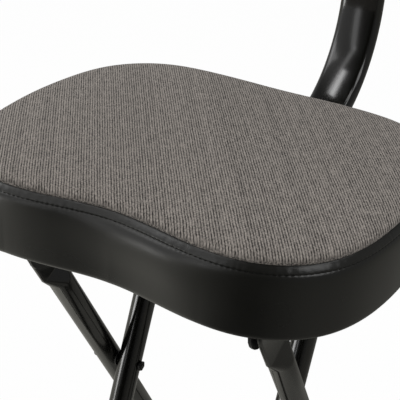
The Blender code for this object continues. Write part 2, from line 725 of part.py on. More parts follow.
def make_floor_bar(name, group, axis_point):
    """A bar along X with a rubber foot on each end, cut flat where the foot stands."""
    half = RIGHT * (FLOOR_BAR_LENGTH / 2)
    adopt(hollow_tube(name, axis_point - half, axis_point + half), group, BLACK_PAINT)
    inside = TUBE_RADIUS + REST_GAP
    for side, sign in SIDES:
        end = axis_point + half * sign + RIGHT * sign * REST_GAP
        depth = FOOT_LENGTH - FOOT_WALL_END
        profile = [(0, FOOT_WALL_END)]
        for inwards, out in FOOT_ROUND_SHARES:
            profile.append((FOOT_RADIUS - inwards * FOOT_WALL_END, out * FOOT_WALL_END))
        profile += [(FOOT_RADIUS, -depth), (inside, -depth), (inside, 0), (0, 0)]
        foot = turned(f"foot_{name.split('_')[0]}_{side}", profile, end, RIGHT * sign, TUBE_SIDES)
        adopt(foot, group, RUBBER)
        reach = Vector((FOOT_LENGTH + OVERRUN, FOOT_RADIUS + OVERRUN, 0))
        floor = box(
            f"cutter_{len(CUTTERS.objects)}",
            Vector((end.x, end.y, 0)) - reach - UP * OVERRUN,
            Vector((end.x, end.y, 0)) + reach,
            CUTTERS,
        )
        adopt(floor, group)
        cut(foot, floor)


def make_cross_pivots():
    """The bolts on which the two frames fold, with a washer between the legs and a lock nut inside."""
    outside = OUTER_LEG_X + TUBE_RADIUS + REST_GAP
    inside = INNER_LEG_X - TUBE_RADIUS - REST_GAP
    gap_side = OUTER_LEG_X - TUBE_RADIUS - REST_GAP
    for side, sign in SIDES:
        inwards = RIGHT * -sign
        length = outside - inside + NUT_HEIGHT + BOLT_PROUD
        piece = bolt(f"cross_bolt_{side}", CROSS + RIGHT * sign * outside, inwards, length)
        adopt(piece, "outer_frame", BLACK_STEEL)
        start = CROSS + RIGHT * sign * gap_side
        thickness = LEG_WASHER - 2 * REST_GAP
        adopt(washer(f"cross_washer_{side}", start, inwards, thickness), "outer_frame", PLASTIC)
        start = CROSS + RIGHT * sign * inside
        adopt(nut(f"cross_nut_{side}", "outer_frame", start, inwards), "outer_frame", BLACK_STEEL)


def bar_path():
    """Centre points of the backrest bar with its two section directions."""
    low = Vector((0, BAR_FRONT_Y, BAR_AXIS_HEIGHT))
    stations = [(low, UP)]
    centre = Vector((0, BEND_START_Y, BAR_AXIS_HEIGHT + BEND_RADIUS))
    for i in range(BEND_STEPS + 1):
        angle = BEND_ANGLE * i / BEND_STEPS
        inwards = Vector((0, -math.sin(angle), math.cos(angle)))
        stations.append((centre - inwards * BEND_RADIUS, inwards))
    stations.append((BAR_TOP, stations[-1][1]))
    return stations


def make_backrest_bar():
    outer = stadium(BAR_WIDTH / 2, BAR_THICKNESS / 2)
    inner = stadium(BAR_WIDTH / 2 - BAR_WALL, BAR_THICKNESS / 2 - BAR_WALL)
    path = bar_path()
    rings = [placed(outer, centre, RIGHT, through) for centre, through in path]
    rings += [placed(inner, centre, RIGHT, through) for centre, through in path[::-1]]
    adopt(loft("backrest_bar", rings, loop=True), "backrest_bar_group", BLACK_PAINT)
    for end, (centre, through), outwards in (("front", path[0], FORWARDS), ("top", path[-1], BAR_UP)):
        slim = stadium(BAR_WIDTH / 2 - BAR_WALL - REST_GAP, BAR_THICKNESS / 2 - BAR_WALL - REST_GAP)
        edge = stadium(BAR_WIDTH / 2 - PLUG_EDGE, BAR_THICKNESS / 2 - PLUG_EDGE)
        rings = [
            placed(slim, centre - outwards * PLUG_DEPTH, RIGHT, through),
            placed(slim, centre + outwards * REST_GAP, RIGHT, through),
            placed(outer, centre + outwards * REST_GAP, RIGHT, through),
            placed(outer, centre + outwards * (PLUG_HEAD - PLUG_EDGE), RIGHT, through),
            placed(edge, centre + outwards * PLUG_HEAD, RIGHT, through),
        ]
        adopt(loft(f"backrest_bar_{end}_plug", rings), "backrest_bar_group", PLASTIC)


def sleeve(name, start, end, through):
    """A flat-oval sleeve in which the backrest bar slides."""
    half_width = BAR_WIDTH / 2 + SLIDE_GAP
    half_thickness = BAR_THICKNESS / 2 + SLIDE_GAP
    inner = stadium(half_width, half_thickness)
    outer = stadium(half_width + RECEIVER_WALL, half_thickness + RECEIVER_WALL)
    rings = [placed(outer, point, RIGHT, through) for point in (start, end)]
    rings += [placed(inner, point, RIGHT, through) for point in (end, start)]
    return loft(name, rings, loop=True)


def weld_boss(obj, group, wall_face, outwards):
    """A round boss on a wall, for the stud of a hand knob."""
    root = wall_face - outwards * BOSS_ROOT
    top = wall_face + outwards * BOSS_HEIGHT
    boss = cylinder(f"{obj.name}_boss", root, top, BOSS_RADIUS, SMALL_SIDES, CUTTERS)
    adopt(boss, group)
    join(obj, boss)
    inside = wall_face - outwards * (RECEIVER_WALL + SLIDE_GAP)
    drill(obj, group, inside, top + outwards * OVERRUN, KNOB_STUD_RADIUS + HOLE_GAP)


def make_receiver(layers):
    """The sleeve under the seat that holds the backrest bar, with flanges and a boss for its knob."""
    start = Vector((0, RECEIVER_FRONT_Y, BAR_AXIS_HEIGHT))
    end = Vector((0, RECEIVER_BACK_Y, BAR_AXIS_HEIGHT))
    receiver = adopt(sleeve("bar_receiver", start, end, UP), "seat", BLACK_PAINT)
    for side, sign in SIDES:
        near, far = sorted((sign * (BAR_WIDTH / 2 - BAR_THICKNESS / 2), sign * RECEIVER_FLANGE_HALF_WIDTH))
        flange = box(
            f"receiver_flange_{side}",
            Vector((near, RECEIVER_FRONT_Y, FITTING_TOP - RECEIVER_WALL)),
            Vector((far, RECEIVER_BACK_Y, FITTING_TOP)),
            CUTTERS,
        )
        adopt(flange, "seat")
        join(receiver, flange)
    knob_point = Vector((0, KNOB_Y, RECEIVER_BOTTOM))
    weld_boss(receiver, "seat", knob_point, -UP)
    for side, sign in SIDES:
        for place, y in (
            ("front", RECEIVER_FRONT_Y + RECEIVER_SCREW_INSET),
            ("rear", RECEIVER_BACK_Y - RECEIVER_REAR_SCREW_INSET),
        ):
            x = sign * RECEIVER_SCREW_X
            face = FITTING_TOP - RECEIVER_WALL - REST_GAP
            seat_screw(f"receiver_screw_{side}_{place}", x, y, face, (receiver, *layers))


def knob(name, boss_face, outwards, wall):
    """A lobed hand knob. Its stud reaches through the boss and the wall to the bar."""
    across = Vector(outwards).orthogonal().normalized()
    other = outwards.cross(across)

    def ring(radius, lobes, at):
        points = []
        for i in range(KNOB_POINTS * KNOB_LOBES):
            angle = 2 * math.pi * i / (KNOB_POINTS * KNOB_LOBES)
            reach = radius + lobes * math.cos(KNOB_LOBES * angle)
            spoke = across * math.cos(angle) + other * math.sin(angle)
            points.append(boss_face + outwards * at + spoke * reach)
        return points

    hub_end = REST_GAP + KNOB_HUB_HEIGHT
    full = KNOB_RADIUS - KNOB_LOBE_DEPTH
    rings = [
        ring(KNOB_STUD_RADIUS, 0, -(BOSS_HEIGHT + wall)),
        ring(KNOB_STUD_RADIUS, 0, REST_GAP),
        ring(KNOB_HUB_RADIUS, 0, REST_GAP),
        ring(KNOB_HUB_RADIUS, 0, hub_end),
    ]
    for out, lobed, up in KNOB_SHARES:
        rings.append(ring(out * full, lobed * KNOB_LOBE_DEPTH, hub_end + up * KNOB_HEIGHT))
    return loft(name, rings)


def make_carrier():
    """The sleeve on the bar's upright that carries the backrest pad."""
    half = BAR_UP * (CARRIER_HEIGHT / 2)
    front = -BAR_BACK
    carrier = sleeve("backrest_carrier", CARRIER - half, CARRIER + half, front)
    adopt(carrier, "backrest", BLACK_PAINT)
    plate_middle = CARRIER + front * (PLATE_FACE - CARRIER_PLATE_THICKNESS / 2)
    shape = bmesh.new()
    size = Matrix.Diagonal((CARRIER_PLATE[0], CARRIER_PLATE_THICKNESS, CARRIER_PLATE[1], 1))
    bmesh.ops.create_cube(shape, size=1, matrix=size)
    plate = new_object("carrier_plate", shape, CUTTERS)
    plate.location = plate_middle
    plate.rotation_euler = (BEND_ANGLE - math.pi / 2, 0, 0)
    adopt(plate, "backrest")
    join(carrier, plate)
    weld_boss(carrier, "backrest", CARRIER + BAR_BACK * CARRIER_FRONT, BAR_BACK)
    return carrier


def pad_bow(x):
    """How far the pad curves towards the sitter at a distance from its middle."""
    return x * x / (2 * PAD_CURVE_RADIUS)


def pad_point(x, depth, height):
    """A point of the backrest pad: sideways, towards the sitter from the plate, and up the bar."""
    return CARRIER + RIGHT * x - BAR_BACK * (PLATE_FACE + REST_GAP + depth + pad_bow(x)) + BAR_UP * height


def pad_ring(share, inset, depth):
    points = []
    for i in range(PAD_POINTS):
        angle = 2 * math.pi * (i + 0.5) / PAD_POINTS
        c, s = math.cos(angle), math.sin(angle)
        x = math.copysign(abs(c) ** (2 / PAD_CORNER_POWER), c) * (PAD_HALF_WIDTH * share - inset)
        z = math.copysign(abs(s) ** (2 / PAD_CORNER_POWER), s) * (PAD_HALF_HEIGHT * share - inset)
        points.append(pad_point(x, depth, z))
    return points


def pad_crown(inside):
    return [
        pad_ring(share, inside, PAD_THICKNESS - PAD_CROWN + crown * PAD_CROWN - (inside if crown else 0))
        for share, crown in PAD_CROWN_SHARES
    ]


def pad_face(inset, depth):
    """Rings of a face that follows the pad's curve, from the middle outwards."""
    return [pad_ring(share, inset * share, depth) for share in PAD_FACE_SHARES]


def make_backrest_pad(carrier):
    """Bent board, foam and a sewn cover that is turned in behind the board."""
    board_low = COVER_THICKNESS + REST_GAP
    board_high = board_low + PAD_BOARD_THICKNESS
    clear = COVER_THICKNESS + REST_GAP
    low_share = PAD_BACK_SHARE
    board = loft("backrest_board", pad_face(clear, board_low) + pad_face(clear, board_high)[::-1])
    adopt(board, "backrest", PLYWOOD)
    foam = loft("backrest_foam", pad_face(clear, board_high + CURVE_GAP) + pad_crown(clear))
    adopt(foam, "backrest", FOAM)
    outside = [pad_ring(low_share, PAD_TURN_IN, 0), pad_ring(low_share, COVER_THICKNESS, 0)]
    outside += [pad_ring(low_share, 0, COVER_THICKNESS)] + pad_crown(0)
    inside = [pad_ring(low_share, PAD_TURN_IN, COVER_THICKNESS)]
    inside += [pad_ring(low_share, COVER_THICKNESS, COVER_THICKNESS)] + pad_crown(COVER_THICKNESS)
    adopt(loft("backrest_cover", outside[::-1] + inside), "backrest", CLOTH)
    into = -BAR_BACK
    for side, sign in SIDES:
        x = sign * PAD_SCREW_X
        start = CARRIER + RIGHT * x + into * (PLATE_FACE - CARRIER_PLATE_THICKNESS - REST_GAP)
        screw(f"backrest_screw_{side}", "backrest", start, into)
        hole_end = pad_point(x, board_high, 0)
        for target in (carrier, board):
            drill(target, "backrest", start - into * OVERRUN, hole_end, SCREW_RADIUS + HOLE_GAP, SCREW_SIDES)


def centre_on_footprint():
    """Moves the stool so that the origin lies under the middle of its box."""
    bpy.context.view_layer.update()
    graph = bpy.context.evaluated_depsgraph_get()
    depths = []
    for obj in PARTS.objects:
        if obj.type == "MESH":
            shown = obj.evaluated_get(graph)
            depths += [(shown.matrix_world @ Vector(corner)).y for corner in shown.bound_box]
    GROUPS["stool"][0].location.y = -(min(depths) + max(depths)) / 2


def main():
    make_group("stool", Vector())
    make_group("outer_frame", Vector(), "stool")
    make_group("inner_frame", CROSS, "stool")
    make_group("seat", SEAT_PIVOT, "stool")
    make_group("backrest_bar_group", Vector((0, BAR_FRONT_Y, BAR_AXIS_HEIGHT)), "seat")
    make_group("backrest", CARRIER, "backrest_bar_group")
    make_group("depth_knob_group", Vector((0, KNOB_Y, RECEIVER_BOTTOM)), "seat")
    make_group("height_knob_group", CARRIER, "backrest")

    layers = make_seat()
    make_front_brackets(layers)
    make_saddles(layers)
    make_receiver(layers)
    make_seat_pivots()

    for side, sign in SIDES:
        make_outer_leg(side, sign)
        make_inner_leg(side, sign)
    make_floor_bar("rear_floor_bar", "outer_frame", on_leg(OUTER_UP, FOOT_AXIS_HEIGHT))
    make_floor_bar("front_floor_bar", "inner_frame", on_leg(INNER_UP, FOOT_AXIS_HEIGHT))
    bar_between_inner_legs("inner_top_bar", TOP_BAR)
    make_foot_rest()
    make_cross_pivots()

    make_backrest_bar()
    boss_face = Vector((0, KNOB_Y, RECEIVER_BOTTOM - BOSS_HEIGHT))
    wall = RECEIVER_WALL + SLIDE_GAP - REST_GAP
    adopt(knob("depth_knob", boss_face, -UP, wall), "depth_knob_group", PLASTIC)
    carrier = make_carrier()
    boss_face = CARRIER + BAR_BACK * (CARRIER_FRONT + BOSS_HEIGHT)
    adopt(knob("height_knob", boss_face, BAR_BACK, wall), "height_knob_group", PLASTIC)
    make_backrest_pad(carrier)

    centre_on_footprint()
    for name, (empty, _) in GROUPS.items():
        bpy.context.view_layer.update()
        print(name, [round(value, 5) for value in empty.matrix_world.translation])


main()
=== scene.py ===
"""Looks, soft goods, light and camera for the guitar stool. Metres, +Z up, -Y is the front."""

import json
import math

import bmesh
import bpy
from mathutils import Matrix, Vector, noise


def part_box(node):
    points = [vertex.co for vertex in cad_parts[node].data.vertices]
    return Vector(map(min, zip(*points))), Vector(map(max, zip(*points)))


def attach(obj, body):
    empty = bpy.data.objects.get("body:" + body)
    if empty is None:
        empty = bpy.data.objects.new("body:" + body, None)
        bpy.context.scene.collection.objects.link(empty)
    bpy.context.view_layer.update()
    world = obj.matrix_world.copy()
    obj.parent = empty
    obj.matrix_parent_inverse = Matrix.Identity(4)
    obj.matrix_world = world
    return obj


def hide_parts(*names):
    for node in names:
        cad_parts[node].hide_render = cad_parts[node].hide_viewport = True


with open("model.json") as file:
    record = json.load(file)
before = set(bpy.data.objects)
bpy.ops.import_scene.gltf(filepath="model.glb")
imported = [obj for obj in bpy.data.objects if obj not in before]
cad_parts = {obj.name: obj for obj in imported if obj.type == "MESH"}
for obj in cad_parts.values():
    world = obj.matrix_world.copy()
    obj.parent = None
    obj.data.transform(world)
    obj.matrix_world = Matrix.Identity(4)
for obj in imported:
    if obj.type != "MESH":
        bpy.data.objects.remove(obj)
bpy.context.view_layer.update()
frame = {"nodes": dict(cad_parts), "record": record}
NODES = frame["nodes"]

# Sizes that the CAD gives. Places are in the stool's own frame, and SHIFT brings them into the row's frame.
SHIFT = Vector((0, -0.13145, 0))
SEAT_HEIGHT = 0.600
SEAT_HALF_WIDTH = 0.1995
SEAT_HALF_DEPTH = 0.160
SIDE_HEIGHT = 0.0643
DUST_COVER_THICKNESS = 0.0012
OUTLINE_SHARES = (
    (0.0, -0.835),
    (0.313, -0.926),
    (0.628, -0.960),
    (0.905, -0.739),
    (1.0, -0.302),
    (1.0, 0.257),
    (0.927, 0.721),
    (0.704, 0.992),
    (0.389, 1.033),
    (0.0, 1.005),
)
TUBE_RADIUS = 0.0127
INNER_LEG_X = 0.0925
OUTER_LEG_X = 0.1195
CROSS = Vector((0, 0.031, 0.3075))
SEAT_PIVOT = Vector((0, -0.0872, 0.505))
TOP_BAR = Vector((0, 0.1064, 0.4960))
OUTER_UP = (SEAT_PIVOT - CROSS).normalized()
INNER_UP = (TOP_BAR - CROSS).normalized()
FOOT_AXIS_HEIGHT = 0.016
FLOOR_BAR_LENGTH = 0.370
FOOT_REST_BELOW_CROSS = 0.150
LEG_OVER_TOP_BAR = 0.013
FLAT_THICKNESS = 0.0052
CRIMP_LENGTH = 0.021
FLAT_LENGTH = 0.041
BAR_HALF_WIDTH = 0.0255
BAR_HALF_THICKNESS = 0.010
BAR_FRONT_Y = -0.020
BAR_AXIS_HEIGHT = 0.5230
BEND_START_Y = 0.2350
BEND_RADIUS = 0.132
BEND_ANGLE = math.radians(86)
BAR_TOP_HEIGHT = 0.930
BAR_UP = Vector((0, math.cos(BEND_ANGLE), math.sin(BEND_ANGLE)))
BAR_BACK = Vector((0, math.sin(BEND_ANGLE), -math.cos(BEND_ANGLE)))
CARRIER_HEIGHT = 0.862
PLATE_FACE = 0.0144
REST_GAP = 0.0003
PAD_HALF_WIDTH = 0.145
PAD_HALF_HEIGHT = 0.078
PAD_SEAM_DEPTH = 0.030
PAD_CURVE_RADIUS = 0.420
PAD_CORNER_POWER = 3.2
UNDER_SEAT_FITTINGS = (
    "front_bracket_left",
    "front_bracket_right",
    "rear_saddle_left",
    "rear_saddle_right",
    "bar_receiver",
)

# Cushions: points and thread
OUTLINE_STEPS = 40
PAD_OUTLINE_POINTS = 720
OUT_STEP = 0.01  # how far out a side's direction is read
STITCH_PITCH = 0.0045
STITCH_LENGTH = 0.0033
POINTS_PER_STITCH = 5
GROOVE_DROP = 0.0062
THREAD_RADIUS = 0.00034
THREAD_SIDES = 6
SEAT_THREAD_OUT = 0.0034
PAD_THREAD_OUT = 0.0009
TOP_POINT_EVERY = 3  # a top has fewer points round its edge than a side
TOP_STEPS = 3

# Cushions: how their covers depart from an even shape. A rate is the steps of noise per point or per metre.
PUCKER = 0.0003
PUCKER_RATE = 0.33
PUCKER_RISE_RATE = 900
PUCKER_RISE = 0.003
PUCKER_REACH = 0.004
CROWN_WAVE = 0.0004
CROWN_WAVE_RATE = 17
CROWN_WAVE_RISE = 0.006
FRAY_START = 1.6  # share of the fraying at the seam, where it is held at 1
FRAY_RISE = 0.0024
STITCH_PULL = 0.00028
STITCH_REACH = 0.0018
SIDE_WAVE = 0.0007
SIDE_WAVE_RATE = 22
SIDE_START = 0.001
SIDE_END = 0.003
STRIP_WAVE = 0.00025
STRIP_WAVE_RATE = 0.19
STRIP_DROP_RATE = 260
TALL_SIDE = 0.04  # a side taller than this hangs a little where it is turned in
TURNED_IN_SHARE = 0.997
TURN_IN_WAVE = 0.0008
TURN_IN_RATE = 0.085
TURN_IN_OFFSET_RATE = 25
TURN_IN_REACH = 0.010

# Seat: how its lower edge stands out at the -X end and in the front's hollow, and how the hollow swells
FLARE_START = 0.012
FLARE_REACH = 0.045
END_FLARE = 0.0055
END_FLARE_X = -0.10
END_FLARE_REACH = 0.06
HOLLOW_FLARE = 0.0018
HOLLOW_HALF_WIDTH = 0.09
SWELL = 0.0030
SWELL_X = 0.03
SWELL_HALF_WIDTH = 0.085
SWELL_PEAK = 27 / 4  # brings the top of d * (1 - d) ** 2 to 1

# Dust cover and staples
DUST_EDGE = -0.0223
DUST_CLOTH = 0.0003
DUST_FOLD_RATES = (26, 14)
DUST_SEED = 4.0
STAPLE_WIDTH = 0.010
STAPLE_RADIUS = 0.00035
STAPLE_SIDES = 8
STAPLE_EVERY = 33
STAPLE_INSIDE = 0.005
STAPLE_DEPTH = 0.0024
# Along the wire: share of half the staple's width, share of its depth
STAPLE_SHAPE = ((-1, 1), (-1, 0.125), (-0.93, 0), (0.93, 0), (1, 0.125), (1, 1))

# Tubes
TUBE_SIDES = 48
LEG_SHARES = (0.1, 0.5, 0.9)
CRIMP_STEPS = 12
END_TURN = math.radians(84)
END_STEPS = 10
BAR_BEND_STEPS = 40
BAR_FLAT_STEPS = 7
BAR_ROUND_STEPS = 10
FLAT_CROWN_RADIUS = 0.150
CROWN_TRIES = 30
CROWN_FIRST_TURN = 0.1
BESIDE_BEND = 0.004
WELD_RADIUS = 0.0019
WELD_SIDES = 8
WELD_UNEVENNESS = 0.22
WELD_RATE = 0.55
WELD_FLATNESS = 0.75
WELD_SEED_STEP = 3.7

UP = Vector((0, 0, 1))
RIGHT = Vector((1, 0, 0))


def new_object(name, shape):
    mesh = bpy.data.meshes.new(name)
    shape.to_mesh(mesh)
    shape.free()
    obj = bpy.data.objects.new(name, mesh)
    bpy.context.scene.collection.objects.link(obj)
    return obj


def add_rings(shape, rings, loop=False):
    """Skins rings of equally many points, capped at both ends or joined end to start."""
    made = [[shape.verts.new(point) for point in ring] for ring in rings]
    pairs = list(zip(made, made[1:]))
    if loop:
        pairs.append((made[-1], made[0]))
    for low, high in pairs:
        for i in range(len(low)):
            j = (i + 1) % len(low)
            shape.faces.new((low[i], low[j], high[j], high[i]))
    if not loop:
        shape.faces.new(made[0])
        shape.faces.new(made[-1])


def smooth(obj, sharp):
    """Smooth shading, apart from edges that turn by more than `sharp` degrees."""
    obj.data.shade_smooth()
    obj.data.set_sharp_from_angle(angle=math.radians(sharp))


def finished(name, shape, sharp):
    """An object of the shape, with its faces turned outwards."""
    bmesh.ops.recalc_face_normals(shape, faces=shape.faces)
    obj = new_object(name, shape)
    smooth(obj, sharp)
    return obj


def loft(name, rings, loop=False, sharp=40):
    shape = bmesh.new()
    add_rings(shape, rings, loop)
    return finished(name, shape, sharp)


def circle(radius, sides=TUBE_SIDES):
    turns = (2 * math.pi * i / sides for i in range(sides))
    return [(radius * math.cos(turn), radius * math.sin(turn)) for turn in turns]


def placed(section, centre, across, through):
    """A flat section's points in space."""
    return [centre + across * u + through * v for u, v in section]


def held(value):
    """A value, kept between 0 and 1."""
    return max(0.0, min(1.0, value))


def closed_spline(controls, steps):
    """A uniform cubic B-spline through the hull of its control points."""
    points = []
    count = len(controls)
    for i in range(count):
        near = [controls[(i + k) % count] for k in (-1, 0, 1, 2)]
        for step in range(steps):
            t = step / steps
            weights = ((1 - t) ** 3, 3 * t**3 - 6 * t**2 + 4, -3 * t**3 + 3 * t**2 + 3 * t + 1, t**3)
            points.append(sum((p * w for p, w in zip(near, weights)), Vector((0, 0))) / 6)
    return points


def resampled(points, count):
    """A closed line's points at even distances."""
    lengths = [0.0]
    for a, b in zip(points, points[1:] + points[:1]):
        lengths.append(lengths[-1] + (b - a).length)
    out = []
    k = 0
    for i in range(count):
        at = lengths[-1] * i / count
        while lengths[k + 1] < at:
            k += 1
        share = (at - lengths[k]) / (lengths[k + 1] - lengths[k])
        out.append(points[k].lerp(points[(k + 1) % len(points)], share))
    return out


def curve_through(points, steps):
    """A smooth line through its points (Catmull-Rom)."""
    out = []
    for i in range(len(points) - 1):
        a, b = Vector(points[max(i - 1, 0)]), Vector(points[i])
        c, d = Vector(points[i + 1]), Vector(points[min(i + 2, len(points) - 1)])
        for step in range(steps):
            t = step / steps
            line = b * 2 + (c - a) * t + (a * 2 - b * 5 + c * 4 - d) * t * t + (b * 3 - a - c * 3 + d) * t**3
            out.append(line / 2)
    out.append(Vector(points[-1]))
    return out


def seat_outline():
    half = [Vector((x * SEAT_HALF_WIDTH, y * SEAT_HALF_DEPTH)) for x, y in OUTLINE_SHARES]
    mirrored = [Vector((-p.x, p.y)) for p in reversed(half[1:-1])]
    return closed_spline(half + mirrored, OUTLINE_STEPS)


def pad_outline():
    points = []
    for i in range(PAD_OUTLINE_POINTS):
        angle = 2 * math.pi * i / PAD_OUTLINE_POINTS
        c, s = math.cos(angle), math.sin(angle)
        x = math.copysign(abs(c) ** (2 / PAD_CORNER_POWER), c) * PAD_HALF_WIDTH
        y = math.copysign(abs(s) ** (2 / PAD_CORNER_POWER), s) * PAD_HALF_HEIGHT
        points.append(Vector((x, y)))
    return points


class Cushion:
    """A cushion's outline at even stitches, and the way its points lie in the row's frame."""

    def __init__(self, line, to_frame):
        total = sum((b - a).length for a, b in zip(line, line[1:] + line[:1]))
        self.stitches = round(total / STITCH_PITCH)
        self.line = resampled(line, self.stitches * POINTS_PER_STITCH)
        self.outwards = []
        for i in range(len(self.line)):
            along = (self.line[(i + 1) % len(self.line)] - self.line[i - 1]).normalized()
            self.outwards.append(Vector((along.y, -along.x)))
        self.to_frame = to_frame

    def point(self, i, offset, rise, share=1.0):
        i %= len(self.line)
        return self.to_frame(self.line[i] * share + self.outwards[i] * offset, rise)

    def out(self, i):
        """The direction out of the cushion's side at a point of its line."""
        return (self.point(i, OUT_STEP, 0) - self.point(i, 0, 0)).normalized()


def on_leg(up, height, x):
    """The point of a leg's axis at a height, in the row's frame."""
    return CROSS + SHIFT + RIGHT * x + up * ((height - CROSS.z) / up.z)


def seat_place(point, rise):
    return Vector((point.x, point.y, SEAT_HEIGHT + rise)) + SHIFT


def pad_place(point, rise):
    bow = point.x * point.x / (2 * PAD_CURVE_RADIUS)
    out = PLATE_FACE + REST_GAP + PAD_SEAM_DEPTH + rise + bow
    return CARRIER + RIGHT * point.x - BAR_BACK * out + BAR_UP * point.y


BEND_SPAN = Vector((0, math.sin(BEND_ANGLE), 1 - math.cos(BEND_ANGLE))) * BEND_RADIUS
BEND_END = Vector((0, BEND_START_Y, BAR_AXIS_HEIGHT)) + BEND_SPAN
BAR_TOP = BEND_END + BAR_UP * ((BAR_TOP_HEIGHT - BEND_END.z) / BAR_UP.z)
CARRIER = BEND_END + BAR_UP * ((CARRIER_HEIGHT - BEND_END.z) / BAR_UP.z) + SHIFT
SEAT = Cushion(seat_outline(), seat_place)
PAD = Cushion(pad_outline(), pad_place)


# Materials

# A noise's usual range
NOISE_LOW = 0.3
NOISE_HIGH = 0.7
RIB_PITCH = 0.00227
WEFT_PITCH = 0.0030
RIB_WANDER = 0.22
# Of the cloth's brightness, which is 0 in its dark colour and 1 in its light one
CLOTH_LEVEL = 0.74
GAP_SHADE = 0.80
WEFT_SHADE = 0.07
FLECK_SHADES = (-0.26, 0.28)
BAND_SHADE = 0.09
RIB_SHADE = 0.06
FRAY_SHADES = (0.06, 0.95)
CLOTH_DARK = (0.016, 0.0145, 0.013)
CLOTH_LIGHT = (0.315, 0.283, 0.255)


class Nodes:
    """A short way to write a material's node tree."""

    def __init__(self, name, world=False):
        self.owner = bpy.data.worlds.new(name) if world else bpy.data.materials.new(name)
        self.owner.use_nodes = True
        self.tree = self.owner.node_tree
        self.tree.nodes.clear()

    def add(self, kind, inputs=None, **settings):
        node = self.tree.nodes.new(kind)
        for key, value in settings.items():
            setattr(node, key, value)
        for key, value in (inputs or {}).items():
            socket = node.inputs[key]
            if isinstance(value, bpy.types.NodeSocket):
                self.tree.links.new(value, socket)
            else:
                socket.default_value = value
        return node

    def math(self, operation, a, b=None, clamp=False):
        inputs = {i: v for i, v in enumerate((a, b)) if v is not None}
        return self.add("ShaderNodeMath", inputs, operation=operation, use_clamp=clamp).outputs[0]

    def dot(self, vector, direction):
        node = self.add("ShaderNodeVectorMath", {0: vector, 1: direction}, operation="DOT_PRODUCT")
        return node.outputs["Value"]

    def length(self, x, y):
        return self.math("SQRT", self.math("ADD", self.math("MULTIPLY", x, x), self.math("MULTIPLY", y, y)))

    def mix(self, share, a, b):
        node = self.add("ShaderNodeMix", {"Factor": share}, data_type="RGBA")
        for key, value in ((6, a), (7, b)):
            if isinstance(value, bpy.types.NodeSocket):
                self.tree.links.new(value, node.inputs[key])
            else:
                node.inputs[key].default_value = (*value, 1)
        return node.outputs[2]

    def ramp(self, value, stops):
        node = self.add("ShaderNodeValToRGB", {"Fac": value})
        elements = node.color_ramp.elements
        while len(elements) > 1:
            elements.remove(elements[-1])
        for i, (at, level) in enumerate(stops):
            element = elements[0] if i == 0 else elements.new(at)
            element.position = at
            element.color = (level, level, level, 1)
        return node.outputs["Color"]

    def spread(self, value, low, high, new_low=0.0, new_high=1.0):
        inputs = {"Value": value, "From Min": low, "From Max": high, "To Min": new_low, "To Max": new_high}
        return self.add("ShaderNodeMapRange", inputs).outputs["Result"]

    def varied(self, value, low=0.0, high=1.0):
        """A noise's usual range, spread between two values."""
        return self.spread(value, NOISE_LOW, NOISE_HIGH, low, high)

    def noise(self, vector, scale, detail=2.0, roughness=0.5):
        inputs = {"Vector": vector, "Scale": scale, "Detail": detail, "Roughness": roughness}
        return self.add("ShaderNodeTexNoise", inputs).outputs["Fac"]

    def streaks(self, across, along, scales, seed, detail, roughness=0.5):
        """Noise that is stretched along the threads."""
        x, y = (self.math("MULTIPLY", place, scale) for place, scale in zip((across, along), scales))
        vector = self.add("ShaderNodeCombineXYZ", {0: x, 1: y, 2: seed}).outputs["Vector"]
        return self.noise(vector, scale=1.0, detail=detail, roughness=roughness)

    def stretched(self, vector, scale):
        return self.add("ShaderNodeMapping", {"Vector": vector, "Scale": scale}).outputs["Vector"]

    def place(self):
        return self.add("ShaderNodeTexCoord").outputs["Object"]

    def bump(self, height, strength, distance):
        inputs = {"Height": height, "Strength": strength, "Distance": distance}
        return self.add("ShaderNodeBump", inputs).outputs["Normal"]

    def finish(self, inputs):
        shader = self.add("ShaderNodeBsdfPrincipled", inputs)
        output = self.add("ShaderNodeOutputMaterial")
        self.tree.links.new(shader.outputs[0], output.inputs["Surface"])
        return self.owner


